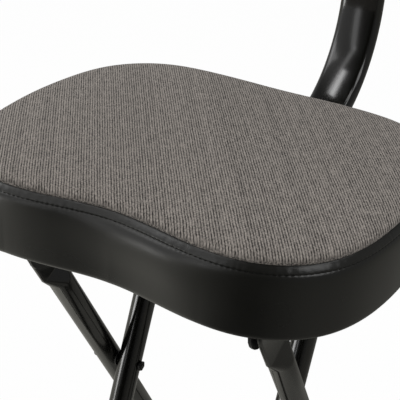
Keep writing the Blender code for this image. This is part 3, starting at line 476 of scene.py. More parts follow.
def woven_cloth(name, across, along):
    """Rep weave: light warm-grey ribs of varying floats, with dark gaps between them."""
    n = Nodes(name)
    place = n.place()
    across_place = n.dot(place, across)
    along_place = n.dot(place, along)
    wander = n.spread(n.noise(place, scale=60), 0, 1, -RIB_WANDER, RIB_WANDER)
    rib_at = n.math("ADD", n.math("DIVIDE", across_place, RIB_PITCH), wander)
    rib_number = n.math("FLOOR", rib_at)
    wave = n.math("COSINE", n.math("MULTIPLY", rib_at, 2 * math.pi))
    rib = n.spread(wave, -1, 1, 1, 0)
    half_step = n.math("MULTIPLY", n.math("MODULO", rib_number, 2.0), 0.5)
    weft_at = n.math("ADD", n.math("DIVIDE", along_place, WEFT_PITCH), half_step)
    weft = n.spread(n.math("COSINE", n.math("MULTIPLY", weft_at, 2 * math.pi)), -1, 1)
    dashes = n.streaks(across_place, along_place, scales=(520, 120), seed=0.0, detail=2, roughness=0.6)
    flecks = n.streaks(across_place, along_place, scales=(900, 380), seed=7.0, detail=1)
    bands = n.streaks(across_place, along_place, scales=(170, 70), seed=3.0, detail=2)
    rib_noise = n.add("ShaderNodeTexWhiteNoise", {"W": rib_number}, noise_dimensions="1D").outputs["Value"]
    depth = n.spread(dashes, 0.34, 0.66, new_low=0.45, new_high=1.1)
    gap = n.math("MULTIPLY", n.math("SUBTRACT", 1.0, n.spread(rib, 0.0, 0.75)), depth)
    light = n.math("SUBTRACT", CLOTH_LEVEL, n.math("MULTIPLY", gap, GAP_SHADE))
    light = n.math("ADD", light, n.spread(weft, 0, 1, -WEFT_SHADE, WEFT_SHADE))
    light = n.math("ADD", light, n.varied(flecks, *FLECK_SHADES))
    light = n.math("ADD", light, n.varied(bands, -BAND_SHADE, BAND_SHADE))
    light = n.math("ADD", light, n.spread(rib_noise, 0, 1, -RIB_SHADE, RIB_SHADE), clamp=True)
    frayed = n.spread(n.noise(place, scale=620, roughness=0.7), 0.38, 0.66, *FRAY_SHADES)
    seam = n.add("ShaderNodeAttribute", {}, attribute_name="seam").outputs["Fac"]
    light = n.math("ADD", light, n.math("MULTIPLY", seam, n.math("SUBTRACT", frayed, light)), clamp=True)
    height = n.math("SUBTRACT", n.math("MULTIPLY", weft, 0.2), gap)
    return n.finish(
        {
            "Base Color": n.mix(light, CLOTH_DARK, CLOTH_LIGHT),
            "Roughness": 0.92,
            "Specular IOR Level": 0.15,
            "Sheen Weight": 0.10,
            "Sheen Roughness": 0.5,
            "Normal": n.bump(height, strength=0.6, distance=0.0005),
        }
    )


def vinyl(name):
    """Soft black leatherette: fine pebbled grain and broad, dull reflections."""
    n = Nodes(name)
    place = n.place()
    cells = {"Vector": place, "Scale": 1100.0}
    grain = n.add("ShaderNodeTexVoronoi", cells, feature="SMOOTH_F1").outputs["Distance"]
    broad = n.noise(place, scale=14)
    fine = n.noise(place, scale=2200)
    height = n.math("ADD", n.math("MULTIPLY", grain, 0.7), n.math("MULTIPLY", fine, 0.4))
    return n.finish(
        {
            "Base Color": n.mix(n.varied(broad), (0.0072, 0.0072, 0.0060), (0.0094, 0.0092, 0.0074)),
            "Roughness": n.varied(broad, 0.26, 0.32),
            "Specular IOR Level": 0.5,
            "Normal": n.bump(height, strength=0.25, distance=0.0002),
        }
    )


def gloss_paint(name):
    """Baked black enamel with a faint orange peel."""
    n = Nodes(name)
    place = n.place()
    peel = n.noise(place, scale=420)
    broad = n.noise(place, scale=14)
    return n.finish(
        {
            "Base Color": n.mix(n.varied(broad), (0.0036, 0.0036, 0.0030), (0.0056, 0.0055, 0.0044)),
            "Roughness": n.varied(broad, 0.13, 0.18),
            "Specular IOR Level": 0.5,
            "Coat Weight": 0.3,
            "Coat Roughness": 0.09,
            "Normal": n.bump(peel, strength=0.08, distance=0.0002),
        }
    )


def metal(name, dark, light, roughness, metallic=1.0):
    """Plated or blackened steel with a faint spangle."""
    n = Nodes(name)
    spangle = n.noise(n.place(), scale=300, detail=3, roughness=0.6)
    return n.finish(
        {
            "Base Color": n.mix(n.varied(spangle), dark, light),
            "Metallic": metallic,
            "Roughness": n.varied(spangle, roughness * 0.8, roughness * 1.2),
            "Normal": n.bump(spangle, strength=0.12, distance=0.0002),
        }
    )


def moulded(name, dark, light, roughness, scale, depth):
    """Rubber, plastic, foam or thread: a fine grain over a broad change of colour."""
    n = Nodes(name)
    place = n.place()
    spark = n.noise(place, scale, detail=3, roughness=0.6)
    broad = n.noise(place, scale=30, detail=3, roughness=0.6)
    return n.finish(
        {
            "Base Color": n.mix(n.varied(broad), dark, light),
            "Roughness": n.varied(broad, roughness * 0.88, min(roughness * 1.1, 1)),
            "Normal": n.bump(spark, strength=0.4, distance=depth),
        }
    )


def stained_plywood(name):
    """Dark plywood with its grain along X."""
    n = Nodes(name)
    grain = n.noise(n.stretched(n.place(), (4, 60, 60)), scale=10, detail=4, roughness=0.6)
    return n.finish(
        {
            "Base Color": n.mix(n.varied(grain), (0.012, 0.010, 0.008), (0.040, 0.032, 0.024)),
            "Roughness": n.varied(grain, 0.5, 0.7),
            "Normal": n.bump(grain, strength=0.4, distance=0.0003),
        }
    )


def dust_cloth(name):
    """Thin black non-woven cloth with its embossed dots."""
    n = Nodes(name)
    place = n.place()
    cells = {"Vector": place, "Scale": 700.0, "Randomness": 0.15}
    dots = n.add("ShaderNodeTexVoronoi", cells).outputs["Distance"]
    fibres = n.noise(place, scale=900, detail=4, roughness=0.7)
    height = n.math("ADD", dots, n.math("MULTIPLY", fibres, 0.6))
    return n.finish(
        {
            "Base Color": n.mix(n.varied(fibres), (0.010, 0.010, 0.010), (0.026, 0.026, 0.026)),
            "Roughness": 0.92,
            "Normal": n.bump(height, strength=0.5, distance=0.0004),
        }
    )


SEAT_RIBS = Vector((-0.57, 0.82, 0)).normalized()
SEAT_CLOTH = woven_cloth("seat_cloth", Vector((SEAT_RIBS.y, -SEAT_RIBS.x, 0)), SEAT_RIBS)
PAD_CLOTH = woven_cloth("backrest_cloth", RIGHT, BAR_UP)
VINYL = vinyl("soft_vinyl")
THREAD = moulded(
    "thread", dark=(0.003, 0.003, 0.003), light=(0.006, 0.006, 0.005), roughness=0.9, scale=3000, depth=0.0002
)
PAINT = gloss_paint("gloss_paint")
ZINC = metal("zinc_plating", dark=(0.38, 0.38, 0.39), light=(0.55, 0.55, 0.56), roughness=0.32)
DARK_STEEL = metal(
    "blackened_steel", dark=(0.015, 0.015, 0.015), light=(0.035, 0.035, 0.035), roughness=0.38, metallic=0.6
)
RUBBER = moulded(
    "ribbed_rubber",
    dark=(0.010, 0.010, 0.010),
    light=(0.019, 0.018, 0.017),
    roughness=0.75,
    scale=700,
    depth=0.0003,
)
PLASTIC = moulded(
    "moulded_plastic",
    dark=(0.010, 0.010, 0.010),
    light=(0.016, 0.016, 0.016),
    roughness=0.42,
    scale=1200,
    depth=0.00015,
)
BOARD = stained_plywood("stained_plywood")
DUST = dust_cloth("dust_cloth")
FOAM = moulded(
    "foam", dark=(0.62, 0.56, 0.38), light=(0.72, 0.66, 0.47), roughness=0.95, scale=900, depth=0.0006
)

SLOT_MATERIALS = {
    "black_paint": PAINT,
    "black_steel": DARK_STEEL,
    "zinc_steel": ZINC,
    "black_rubber": RUBBER,
    "black_plastic": PLASTIC,
    "black_vinyl": VINYL,
    "grey_cloth": SEAT_CLOTH,
    "foam": FOAM,
    "plywood": BOARD,
    "dust_cloth": DUST,
}


def dress(obj, body, material, slot, *replaced):
    """Gives a new piece its material and body, and hides the CAD parts that it stands for."""
    obj.data.materials.clear()
    obj.data.materials.append(material)
    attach(obj, body)
    if replaced:
        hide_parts(*replaced)
    return obj


# Sewn cushions: a woven top over a vinyl side, which has a strip, a topstitch and a fold behind

# Share of the outline, offset and rise over the seam, from under the seam to the middle
TOP_PROFILE = (
    (1.0, -0.0034, -0.0018),
    (1.0, -0.0012, -0.0007),
    (1.0, -0.0003, 0.0006),
    (1.0, -0.0001, 0.0019),
    (0.998, -0.0003, 0.0033),
    (0.990, 0.0, 0.0047),
    (0.96, 0.0, 0.0066),
    (0.90, 0.0, 0.0081),
    (0.80, 0.0, 0.0093),
    (0.62, 0.0, 0.0103),
    (0.38, 0.0, 0.0108),
    (0.16, 0.0, 0.0110),
    (0.02, 0.0, 0.0110),
)
# Offset and drop under the seam
STRIP_PROFILE = (
    (-0.0024, 0.0006),
    (-0.0014, 0.0001),
    (-0.0004, 0.0005),
    (0.0006, 0.0013),
    (0.0016, 0.0024),
    (0.0026, 0.0036),
    (0.0035, 0.0048),
    (0.0040, 0.0056),
    (0.0038, 0.0060),
    (0.0034, 0.0062),
    (0.0037, 0.0065),
    (0.0042, 0.0069),
    (0.0048, 0.0079),
)
SEAT_SIDE_PROFILE = STRIP_PROFILE + (
    (0.0054, 0.0092),
    (0.0059, 0.0112),
    (0.0063, 0.0140),
    (0.0066, 0.0178),
    (0.0068, 0.0230),
    (0.0069, 0.0300),
    (0.0069, 0.0390),
    (0.0069, 0.0480),
    (0.0069, 0.0540),
    (0.0068, 0.0595),
    (0.0066, 0.0618),
    (0.0058, 0.0635),
    (0.0040, 0.0643),
    (0.0010, 0.0644),
    (-0.006, 0.0643),
    (-0.014, 0.0643),
    (-0.022, 0.0643),
    (-0.022, 0.0632),
    (-0.008, 0.0630),
    (0.0020, 0.0628),
    (0.0034, 0.0600),
    (0.0030, 0.0400),
    (0.0024, 0.0200),
    (0.0010, 0.0090),
    (-0.0024, 0.0040),
)
PAD_STRIP_INSIDE = 0.0025
PAD_SIDE_PROFILE = tuple((offset - PAD_STRIP_INSIDE, drop) for offset, drop in STRIP_PROFILE) + (
    (0.0028, 0.0094),
    (0.0033, 0.0114),
    (0.0035, 0.0150),
    (0.0028, 0.0200),
    (0.0014, 0.0250),
    (-0.0004, 0.0278),
    (-0.0022, 0.0294),
    (-0.0045, 0.0300),
    (-0.010, 0.0300),
    (-0.016, 0.0300),
    (-0.016, 0.0288),
    (-0.0050, 0.0287),
    (-0.0026, 0.0275),
    (-0.0020, 0.0150),
    (-0.0045, 0.0060),
)
# Along a stitch: share of its length, lift, share of the thread's radius
STITCH_SHAPE = (
    (0, -0.0003, 0.5),
    (0.14, 0.0001, 0.9),
    (0.5, 0.0003, 1.0),
    (0.86, 0.0001, 0.9),
    (1, -0.0003, 0.5),
)


def make_top(name, cushion, seed):
    """The woven top. It is puckered along the seam and swells a little unevenly."""
    rings = []
    seams = []
    for share, offset, rise in curve_through(TOP_PROFILE, TOP_STEPS):
        near_seam = max(0.0, 1 - abs(rise - PUCKER_RISE) / PUCKER_REACH)
        ring = []
        for i in range(0, len(cushion.line), TOP_POINT_EVERY):
            point = cushion.point(i, offset, rise, share)
            if rise > 0:
                wave = noise.noise(Vector((i * PUCKER_RATE, rise * PUCKER_RISE_RATE, seed)))
                pucker = wave * PUCKER * near_seam
                swell = noise.noise(point * CROWN_WAVE_RATE) * CROWN_WAVE * min(rise / CROWN_WAVE_RISE, 1)
                point = cushion.point(i, offset + pucker, rise + swell, share)
            ring.append(point)
            seams.append(held(FRAY_START - rise / FRAY_RISE))
        rings.append(ring)
    obj = loft(name, rings, sharp=80)
    seam = obj.data.attributes.new("seam", "FLOAT", "POINT")
    for vertex, value in zip(seam.data, seams):
        vertex.value = value
    return obj


def waved(cushion, i, offset, drop, fold, seed):
    """A side's offset at a point, with its stitch holes and slight waves."""
    phase = (i % POINTS_PER_STITCH) / POINTS_PER_STITCH
    hole = (1 + math.cos(2 * math.pi * phase)) / 2
    near_stitch = max(0.0, 1 - abs(drop - GROOVE_DROP) / STITCH_REACH)
    out = offset - STITCH_PULL * hole * near_stitch
    free = max(0.0, math.sin(math.pi * (drop - GROOVE_DROP) / (fold - GROOVE_DROP)))
    out += noise.noise(cushion.point(i, 0, -drop) * SIDE_WAVE_RATE) * SIDE_WAVE * free
    if drop < GROOVE_DROP:
        strip = math.sin(math.pi * drop / GROOVE_DROP)
        out += noise.noise(Vector((i * STRIP_WAVE_RATE, drop * STRIP_DROP_RATE, seed))) * STRIP_WAVE * strip
    return out


def make_side(name, cushion, profile, seed, flare=None):
    """A cushion's side, from the seam down, in under the board and back up inside."""
    fold = max(drop for _, drop in profile)
    edge = max(range(len(profile)), key=lambda k: profile[k][1])
    rings = []
    for index, (offset, drop) in enumerate(profile):
        outside = SIDE_START < drop < fold - SIDE_END and index < edge
        turned_in = fold > TALL_SIDE and drop >= fold * TURNED_IN_SHARE and offset < 0
        ring = []
        for i in range(len(cushion.line)):
            out = waved(cushion, i, offset, drop, fold, seed) if outside else offset
            lower = 0.0
            if flare:
                out += flare(cushion.line[i], drop, offset)
            if turned_in:
                wave = abs(noise.noise(Vector((i * TURN_IN_RATE, offset * TURN_IN_OFFSET_RATE, seed))))
                lower = wave * TURN_IN_WAVE * min(1.0, -offset / TURN_IN_REACH)
            ring.append(cushion.point(i, out, -drop - lower))
        rings.append(ring)
    return loft(name, rings, loop=True, sharp=75)


def make_stitches(name, cushion, offset):
    """Thread in the groove, one short stitch after another."""
    shape = bmesh.new()
    margin = (1 - STITCH_LENGTH / STITCH_PITCH) / 2
    for k in range(cushion.stitches):
        first = k * POINTS_PER_STITCH
        a = cushion.point(first, offset, -GROOVE_DROP)
        b = cushion.point(first + POINTS_PER_STITCH, offset, -GROOVE_DROP)
        out = cushion.out(first + POINTS_PER_STITCH // 2)
        down = (b - a).normalized().cross(out)
        rings = []
        for t, lift, size in STITCH_SHAPE:
            at = a.lerp(b, margin + t * (1 - 2 * margin)) + out * lift
            rings.append(placed(circle(THREAD_RADIUS * size, THREAD_SIDES), at, out, down))
        add_rings(shape, rings)
    return finished(name, shape, sharp=80)


def seat_flare(point, drop, offset):
    """How far the seat's side stands out more than the CAD's, at a point of its line."""
    if drop < GROOVE_DROP or offset < 0:
        return 0.0
    low = held((drop - FLARE_START) / FLARE_REACH)
    side = held((END_FLARE_X - point.x) / END_FLARE_REACH)
    hollow = max(0.0, 1 - abs(point.x) / HOLLOW_HALF_WIDTH) * (point.y < 0)
    deep = min(1.0, (drop - GROOVE_DROP) / FLARE_REACH)
    around = max(0.0, 1 - ((point.x - SWELL_X) / SWELL_HALF_WIDTH) ** 2) * (point.y < 0)
    swell = SWELL_PEAK * deep * (1 - deep) ** 2 * around**2
    return low * (END_FLARE * side + HOLLOW_FLARE * hollow) + SWELL * swell


seat_top = make_top("seat_top", SEAT, seed=3.0)
seat_side = make_side("seat_side", SEAT, SEAT_SIDE_PROFILE, seed=5.0, flare=seat_flare)
dress(seat_top, "seat", SEAT_CLOTH, "grey_cloth", "seat_top_cover", "seat_foam")
dress(seat_side, "seat", VINYL, "black_vinyl", "seat_side_cover")
dress(make_stitches("seat_topstitch", SEAT, SEAT_THREAD_OUT), "seat", THREAD, "black_vinyl")
pad_top = make_top("backrest_front", PAD, seed=11.0)
pad_side = make_side("backrest_side", PAD, PAD_SIDE_PROFILE, seed=13.0)
dress(pad_top, "backrest", PAD_CLOTH, "grey_cloth", "backrest_cover", "backrest_foam")
dress(pad_side, "backrest", VINYL, "black_vinyl", "backrest_cover")
dress(make_stitches("backrest_topstitch", PAD, PAD_THREAD_OUT), "backrest", THREAD, "black_vinyl")


# Dust cover under the seat, stapled round its edge

# Share of the way from the middle to the edge, and of the folds' depth
DUST_RINGS = ((0.03, 1.0), (0.2, 1.0), (0.4, 0.9), (0.6, 0.8), (0.75, 0.6), (0.9, 0.35), (1.0, 0.0))


def make_dust_cover():
    """Thin cloth with shallow folds, drawn flat at its edge."""
    below = []
    for share, slack in DUST_RINGS:
        ring = []
        for i in range(0, len(SEAT.line), TOP_POINT_EVERY):
            point = SEAT.point(i, DUST_EDGE * share, -SIDE_HEIGHT, share)
            at = Vector((point.x * DUST_FOLD_RATES[0], point.y * DUST_FOLD_RATES[1], DUST_SEED))
            ring.append(point + UP * (DUST_COVER_THICKNESS / 2 * (1 + noise.noise(at) * slack)))
        below.append(ring)
    above = [[point + UP * DUST_CLOTH for point in ring] for ring in below[::-1]]
    return loft("dust_cover", below + above, sharp=60)


def clear_of_fittings(point):
    for name in UNDER_SEAT_FITTINGS:
        low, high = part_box(name)
        beside = low[0] - STAPLE_WIDTH < point.x < high[0] + STAPLE_WIDTH
        if beside and low[1] - STAPLE_WIDTH < point.y < high[1] + STAPLE_WIDTH:
            return False
    return True


def make_staples():
    shape = bmesh.new()
    for i in range(0, len(SEAT.line), STAPLE_EVERY):
        at = SEAT.point(i, DUST_EDGE - STAPLE_INSIDE, -SIDE_HEIGHT)
        if not clear_of_fittings(at):
            continue
        along = (SEAT.point(i + 1, 0, 0) - SEAT.point(i - 1, 0, 0)).normalized() * (STAPLE_WIDTH / 2)
        deep = UP * STAPLE_DEPTH
        wire = [at + along * beside + deep * depth for beside, depth in STAPLE_SHAPE]
        out = SEAT.out(i)
        rings = []
        for k, point in enumerate(wire):
            ahead = (wire[min(k + 1, len(wire) - 1)] - wire[max(k - 1, 0)]).normalized()
            rings.append(placed(circle(STAPLE_RADIUS, STAPLE_SIDES), point, out, ahead.cross(out)))
        add_rings(shape, rings)
    return finished("dust_cover_staples", shape, sharp=50)


dress(make_dust_cover(), "seat", DUST, "dust_cloth", "seat_dust_cover")
dress(make_staples(), "seat", ZINC, "zinc_steel")


# Tubes


def stadium(half_width, half_thickness):
    straight = half_width - half_thickness
    section = []
    for i in range(TUBE_SIDES):
        angle = 2 * math.pi * (i + 0.5) / TUBE_SIDES
        side = math.copysign(straight, math.cos(angle))
        section.append((side + half_thickness * math.cos(angle), half_thickness * math.sin(angle)))
    return section


def on_round(beside):
    """How far a tube's surface stands off its axis, at a distance beside the axis."""
    return math.sqrt(max(0.0, TUBE_RADIUS**2 - min(abs(beside), TUBE_RADIUS) ** 2))


def saddle_ring(centre, up):
    """Where a leg meets the bar that it stands on: a ring on the bar's surface."""
    across = up.cross(RIGHT)
    return [centre + RIGHT * v + across * u + up * on_round(u) for u, v in circle(TUBE_RADIUS)]


def end_ring(centre, up, side):
    """Where a bar along X meets the side of an inner leg."""
    across = up.cross(RIGHT)
    ring = []
    for u, v in circle(TUBE_RADIUS):
        ring.append(centre + RIGHT * side * (INNER_LEG_X - on_round(u)) + across * u + up * v)
    return ring


def make_inner_leg(name, x):
    foot = on_leg(INNER_UP, FOOT_AXIS_HEIGHT, x)
    top = on_leg(INNER_UP, TOP_BAR.z, x) + INNER_UP * LEG_OVER_TOP_BAR
    across = INNER_UP.cross(RIGHT)
    rings = [saddle_ring(foot, INNER_UP)]
    for share in (*LEG_SHARES, 1.0):
        rings.append(placed(circle(TUBE_RADIUS), foot.lerp(top, share), across, RIGHT))
    return loft(name, rings)


def make_outer_leg(name, x):
    """A tube whose top is pressed flat and rounded off round the seat bolt."""
    half_flat = FLAT_THICKNESS / 2
    foot = on_leg(OUTER_UP, FOOT_AXIS_HEIGHT, x)
    pivot = on_leg(OUTER_UP, SEAT_PIVOT.z, x)
    across = OUTER_UP.cross(RIGHT)
    crimp_end = pivot - OUTER_UP * FLAT_LENGTH
    crimp_start = crimp_end - OUTER_UP * CRIMP_LENGTH
    stations = [(foot.lerp(crimp_start, share), TUBE_RADIUS) for share in LEG_SHARES]
    for i in range(CRIMP_STEPS + 1):
        share = i / CRIMP_STEPS
        at = crimp_start.lerp(crimp_end, share)
        stations.append((at, TUBE_RADIUS + (half_flat - TUBE_RADIUS) * share))
    sections = []
    for at, thin in stations:
        wide = thin + math.pi / 2 * (TUBE_RADIUS - thin)
        sections.append((at, stadium(wide, thin)))
    full = half_flat + math.pi / 2 * (TUBE_RADIUS - half_flat)
    for i in range(END_STEPS + 1):
        angle = END_TURN * i / END_STEPS
        at = pivot + OUTER_UP * full * math.sin(angle)
        sections.append((at, stadium(max(full * math.cos(angle), half_flat), half_flat)))
    rings = [placed(section, at, across, RIGHT) for at, section in sections]
    base = []
    for point in placed(stadium(TUBE_RADIUS, TUBE_RADIUS), foot, across, RIGHT):
        base.append(point + OUTER_UP * on_round((point - foot).dot(across)))
    return loft(name, [base] + rings, sharp=38)


def make_bar(name, centre, half_length):
    ends = (centre + RIGHT * x for x in (-half_length, half_length))
    return loft(name, [placed(circle(TUBE_RADIUS), end, UP, RIGHT.cross(UP)) for end in ends])


def make_cross_bar(name, centre):
    return loft(name, [end_ring(centre, INNER_UP, side) for side in (-1, 1)])


def bar_section():
    """The backrest bar's flat-oval section, whose flats are a little crowned."""
    turn = CROWN_FIRST_TURN
    for _ in range(CROWN_TRIES):
        tip = (BAR_HALF_THICKNESS - FLAT_CROWN_RADIUS * (1 - math.cos(turn))) / math.cos(turn)
        turn = math.asin((BAR_HALF_WIDTH - tip + tip * math.sin(turn)) / FLAT_CROWN_RADIUS)
    quarter = []
    for i in range(BAR_FLAT_STEPS):
        angle = turn * i / BAR_FLAT_STEPS
        drop = FLAT_CROWN_RADIUS * (1 - math.cos(angle))
        quarter.append((FLAT_CROWN_RADIUS * math.sin(angle), BAR_HALF_THICKNESS - drop))
    for i in range(BAR_ROUND_STEPS + 1):
        angle = turn + (math.pi / 2 - turn) * i / BAR_ROUND_STEPS
        quarter.append((BAR_HALF_WIDTH - tip + tip * math.sin(angle), tip * math.cos(angle)))
    section = quarter + [(u, -v) for u, v in quarter[-2::-1]]
    return section + [(-u, v) for u, v in section[-2:0:-1]]


def make_backrest_bar():
    section = bar_section()
    centre = Vector((0, BEND_START_Y, BAR_AXIS_HEIGHT + BEND_RADIUS))
    stations = [(Vector((0, y, BAR_AXIS_HEIGHT)), UP) for y in (BAR_FRONT_Y, BEND_START_Y - BESIDE_BEND)]
    for i in range(BAR_BEND_STEPS + 1):
        angle = BEND_ANGLE * i / BAR_BEND_STEPS
        inwards = Vector((0, -math.sin(angle), math.cos(angle)))
        stations.append((centre - inwards * BEND_RADIUS, inwards))
    stations.append((BEND_END + BAR_UP * BESIDE_BEND, -BAR_BACK))
    stations.append((BAR_TOP, -BAR_BACK))
    rings = [placed(section, point + SHIFT, RIGHT, through) for point, through in stations]
    return loft("backrest_tube", rings, sharp=50)


def bead(shape, line, seed):
    """A weld bead along a closed line: a lumpy, flattened roll."""
    rings = []
    count = len(line)
    centre = sum(line, Vector()) / count
    for i, point in enumerate(line):
        along = (line[(i + 1) % count] - line[i - 1]).normalized()
        out = point - centre
        out = (out - along * out.dot(along)).normalized()
        side = along.cross(out)
        size = WELD_RADIUS * (1 + WELD_UNEVENNESS * noise.noise(Vector((i * WELD_RATE, seed, 0))))
        rings.append(placed(circle(size, WELD_SIDES), point, out * WELD_FLATNESS, side))
    add_rings(shape, rings, loop=True)


def make_welds(name, lines):
    shape = bmesh.new()
    for k, line in enumerate(lines):
        bead(shape, line, seed=k * WELD_SEED_STEP)
    return finished(name, shape, sharp=70)


foot_rest = CROSS + SHIFT - INNER_UP * FOOT_REST_BELOW_CROSS
top_bar = TOP_BAR + SHIFT
rear_bar = on_leg(OUTER_UP, FOOT_AXIS_HEIGHT, 0)
front_bar = on_leg(INNER_UP, FOOT_AXIS_HEIGHT, 0)
for side, sign in (("left", 1), ("right", -1)):
    leg = make_outer_leg(f"outer_tube_{side}", sign * OUTER_LEG_X)
    dress(leg, "outer_frame", PAINT, "black_paint", f"outer_leg_{side}")
    leg = make_inner_leg(f"inner_tube_{side}", sign * INNER_LEG_X)
    dress(leg, "inner_frame", PAINT, "black_paint", f"inner_leg_{side}")
bar = make_bar("rear_floor_tube", rear_bar, FLOOR_BAR_LENGTH / 2)
dress(bar, "outer_frame", PAINT, "black_paint", "rear_floor_bar")
bar = make_bar("front_floor_tube", front_bar, FLOOR_BAR_LENGTH / 2)
dress(bar, "inner_frame", PAINT, "black_paint", "front_floor_bar")
bar = make_cross_bar("foot_rest_tube", foot_rest)
dress(bar, "inner_frame", PAINT, "black_paint", "foot_rest_bar")
bar = make_cross_bar("inner_top_tube", top_bar)
dress(bar, "inner_frame", PAINT, "black_paint", "inner_top_bar")
dress(make_backrest_bar(), "backrest_slide", PAINT, "black_paint", "backrest_bar")
outer_lines = [saddle_ring(rear_bar + RIGHT * x, OUTER_UP) for x in (-OUTER_LEG_X, OUTER_LEG_X)]
inner_lines = [saddle_ring(front_bar + RIGHT * x, INNER_UP) for x in (-INNER_LEG_X, INNER_LEG_X)]
inner_lines += [end_ring(at, INNER_UP, side) for at in (foot_rest, top_bar) for side in (-1, 1)]
dress(make_welds("outer_welds", outer_lines), "outer_frame", PAINT, "black_paint")
dress(make_welds("inner_welds", inner_lines), "inner_frame", PAINT, "black_paint")

# The CAD's nodes get their finish here
WELD_DISTANCE = 0.00001
SPLIT_ANGLE = math.radians(32)
for subpart in frame["record"]["subparts"]:
    obj = NODES[subpart["node"]]
    obj.data.materials.clear()
    obj.data.materials.append(SLOT_MATERIALS[subpart["material_slot"]])
    obj.data.shade_smooth()
    weld = obj.modifiers.new("weld", "WELD")
    weld.merge_threshold = WELD_DISTANCE
    split = obj.modifiers.new("edges", "EDGE_SPLIT")
    split.split_angle = SPLIT_ANGLE
    obj.modifiers.new("normals", "WEIGHTED_NORMAL")


# Floor, world, lamps and camera

FLOOR_HALF_SIZE = 8
FLOOR_DROP = 0.0005
FLOOR_COLOUR = (0.8, 0.8, 0.79, 1)
FLOOR_GLOW_SHARE = 0.97  # what it shows in the picture and in reflections, over its own shading
FLOOR_REFLECTED = (1.0, 0.98, 0.88)
UNDER_STOOL = 0.25  # its brightness in reflections close to the stool
UNDER_STOOL_RADII = (0.40, 0.70)
FLOOR_TO_WORLD = 9.0  # scales places on the floor to directions of the world
WORLD_LIGHT = 0.42
# A reflection that goes steeply up or down is darker
LEVEL_REACH = (0.35, 1.0)
LEVEL_SHARES = (0.12, 1.0)
# Brightness round the stool, by shares of a turn: behind it (0), by -X to its front (0.5), by +X and back
AROUND = (
    (0.0, 0.10),
    (0.06, 0.15),
    (0.13, 0.30),
    (0.24, 0.45),
    (0.32, 0.85),
    (0.37, 0.85),
    (0.42, 0.5),
    (0.46, 0.10),
    (0.50, 0.0),
    (0.56, 0.0),
    (0.60, 0.10),
    (0.68, 0.22),
    (0.90, 0.22),
    (1.0, 0.10),
)
# Turned, tipped and rolled, from a level look along +Y
CAMERA_ANGLES = (28.61, 28.22, -2.87)
CAMERA_PLACE = Vector((0.4150, -0.7586, 1.0133))
SENSOR_WIDTH = 36.0
FOCAL_PIXELS = 1065.5
PHOTO_WIDTH = 400


def surroundings(n, x, y):
    """How bright a reflection is, by its direction round the stool: dark in front, light towards -X."""
    turn = n.math("ARCTAN2", x, n.math("MULTIPLY", y, -1.0))
    level = n.ramp(n.spread(turn, -math.pi, math.pi), AROUND)
    return n.math("MULTIPLY", level, n.spread(n.length(x, y), *LEVEL_REACH, *LEVEL_SHARES))


def seen_and_glossy(n):
    """Whether a ray comes from the camera, straight or through glass, and whether it is a reflection."""
    path = n.add("ShaderNodeLightPath").outputs
    seen = n.math("MAXIMUM", path["Is Camera Ray"], path["Is Transmission Ray"])
    return seen, path["Is Glossy Ray"]


def make_floor():
    shape = bmesh.new()
    bmesh.ops.create_grid(shape, x_segments=1, y_segments=1, size=FLOOR_HALF_SIZE)
    floor = new_object("floor", shape)
    floor.location.z = -FLOOR_DROP
    n = Nodes("floor")
    seen, glossy = seen_and_glossy(n)
    place = n.add("ShaderNodeSeparateXYZ", {"Vector": n.place()}).outputs
    x = place["X"]
    y = n.math("SUBTRACT", place["Y"], SHIFT.y)
    under = n.spread(n.length(x, y), *UNDER_STOOL_RADII, UNDER_STOOL, 0.0)
    far = surroundings(n, n.math("MULTIPLY", x, FLOOR_TO_WORLD), n.math("MULTIPLY", y, FLOOR_TO_WORLD))
    level = n.math("ADD", seen, n.math("MULTIPLY", glossy, n.math("MAXIMUM", far, under)))
    share = n.math("MULTIPLY", n.math("MAXIMUM", seen, glossy), FLOOR_GLOW_SHARE)
    diffuse = n.add("ShaderNodeBsdfDiffuse", {"Color": FLOOR_COLOUR})
    tone = n.mix(glossy, (1, 1, 1), FLOOR_REFLECTED)
    white = n.add("ShaderNodeEmission", {"Color": tone, "Strength": level})
    mixed = n.add("ShaderNodeMixShader", {0: share, 1: diffuse.outputs[0], 2: white.outputs[0]})
    output = n.add("ShaderNodeOutputMaterial")
    n.tree.links.new(mixed.outputs[0], output.inputs["Surface"])
    floor.data.materials.append(n.owner)


def make_world():
    n = Nodes("studio", world=True)
    seen, glossy = seen_and_glossy(n)
    direction = n.add("ShaderNodeTexCoord").outputs["Generated"]
    place = n.add("ShaderNodeSeparateXYZ", {"Vector": direction}).outputs
    reflected = n.math("MULTIPLY", glossy, surroundings(n, place["X"], place["Y"]))
    unseen = n.math("SUBTRACT", 1.0, n.math("MAXIMUM", seen, glossy))
    strength = n.math("ADD", n.math("ADD", seen, reflected), n.math("MULTIPLY", unseen, WORLD_LIGHT))
    background = n.add("ShaderNodeBackground", {"Color": (1, 1, 1, 1), "Strength": strength})
    output = n.add("ShaderNodeOutputWorld")
    n.tree.links.new(background.outputs[0], output.inputs["Surface"])
    bpy.context.scene.world = n.owner


def lamp(name, at, target, power, size, along=UP):
    """A rectangular lamp that faces its target. Its height lies as near to `along` as that allows."""
    data = bpy.data.lights.new(name, "AREA")
    data.shape = "RECTANGLE"
    data.size, data.size_y = size
    data.energy = power
    obj = bpy.data.objects.new(name, data)
    obj.location = at
    obj.rotation_mode = "QUATERNION"
    back = (Vector(at) - Vector(target)).normalized()
    side = along.cross(back).normalized()
    obj.rotation_quaternion = Matrix((side, back.cross(side), back)).transposed().to_quaternion()
    bpy.context.scene.collection.objects.link(obj)


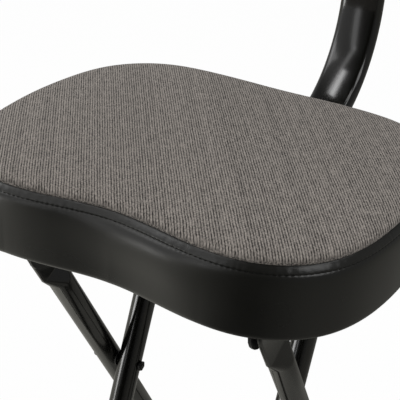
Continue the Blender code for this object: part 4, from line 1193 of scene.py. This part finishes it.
def make_lamps():
    middle = (0, 0, 0.5)
    seat = (0, 0, 0.6)
    behind_seat = (0, 0.1, 0.6)
    to_back = Vector((0, 1, 0))
    lamp("key", at=(-2.4, -0.6, 1.75), target=middle, power=10, size=(1.3, 1.3))
    lamp("strip_box", at=(-1.65, -1.0, 2.0), target=seat, power=5, size=(0.9, 0.9))
    lamp("right_box", at=(1.6, -0.5, 2.25), target=middle, power=8, size=(1.0, 1.0))
    lamp("back", at=(-0.2, 1.9, 2.2), target=middle, power=11, size=(1.4, 1.4))
    lamp("ceiling", at=(0.75, 0.35, 2.5), target=middle, power=7, size=(1.0, 1.0))
    lamp("overhead", at=(-0.67, -0.09, 2.35), target=seat, power=3.9, size=(0.20, 1.40), along=to_back)
    lamp("overhead_core", at=(-0.60, -0.09, 2.36), target=seat, power=2.8, size=(0.16, 1.40), along=to_back)
    lamp("low_box", at=(-0.77, -2.0, 1.25), target=behind_seat, power=2.1, size=(0.22, 1.7))
    lamp("left_box", at=(-1.76, -1.42, 0.24), target=seat, power=6, size=(0.85, 0.40))
    lamp("bridge", at=(-0.73, -1.35, 2.28), target=behind_seat, power=1.0, size=(0.14, 1.05), along=to_back)


def make_camera():
    yaw, pitch, roll = (math.radians(angle) for angle in CAMERA_ANGLES)
    forward = Vector((-math.sin(yaw) * math.cos(pitch), math.cos(yaw) * math.cos(pitch), -math.sin(pitch)))
    right = Vector((math.cos(yaw), math.sin(yaw), 0))
    down = forward.cross(right)
    right, down = (
        right * math.cos(roll) + down * math.sin(roll),
        down * math.cos(roll) - right * math.sin(roll),
    )
    data = bpy.data.cameras.new("camera")
    data.sensor_width = SENSOR_WIDTH
    data.lens = SENSOR_WIDTH * FOCAL_PIXELS / PHOTO_WIDTH
    camera = bpy.data.objects.new("camera", data)
    turn = Matrix((right, -down, -forward)).transposed().to_4x4()
    camera.matrix_world = Matrix.Translation(CAMERA_PLACE + SHIFT) @ turn
    bpy.context.scene.collection.objects.link(camera)
    bpy.context.scene.camera = camera


make_floor()
make_world()
make_lamps()
make_camera()
bpy.context.scene.view_settings.view_transform = "Standard"
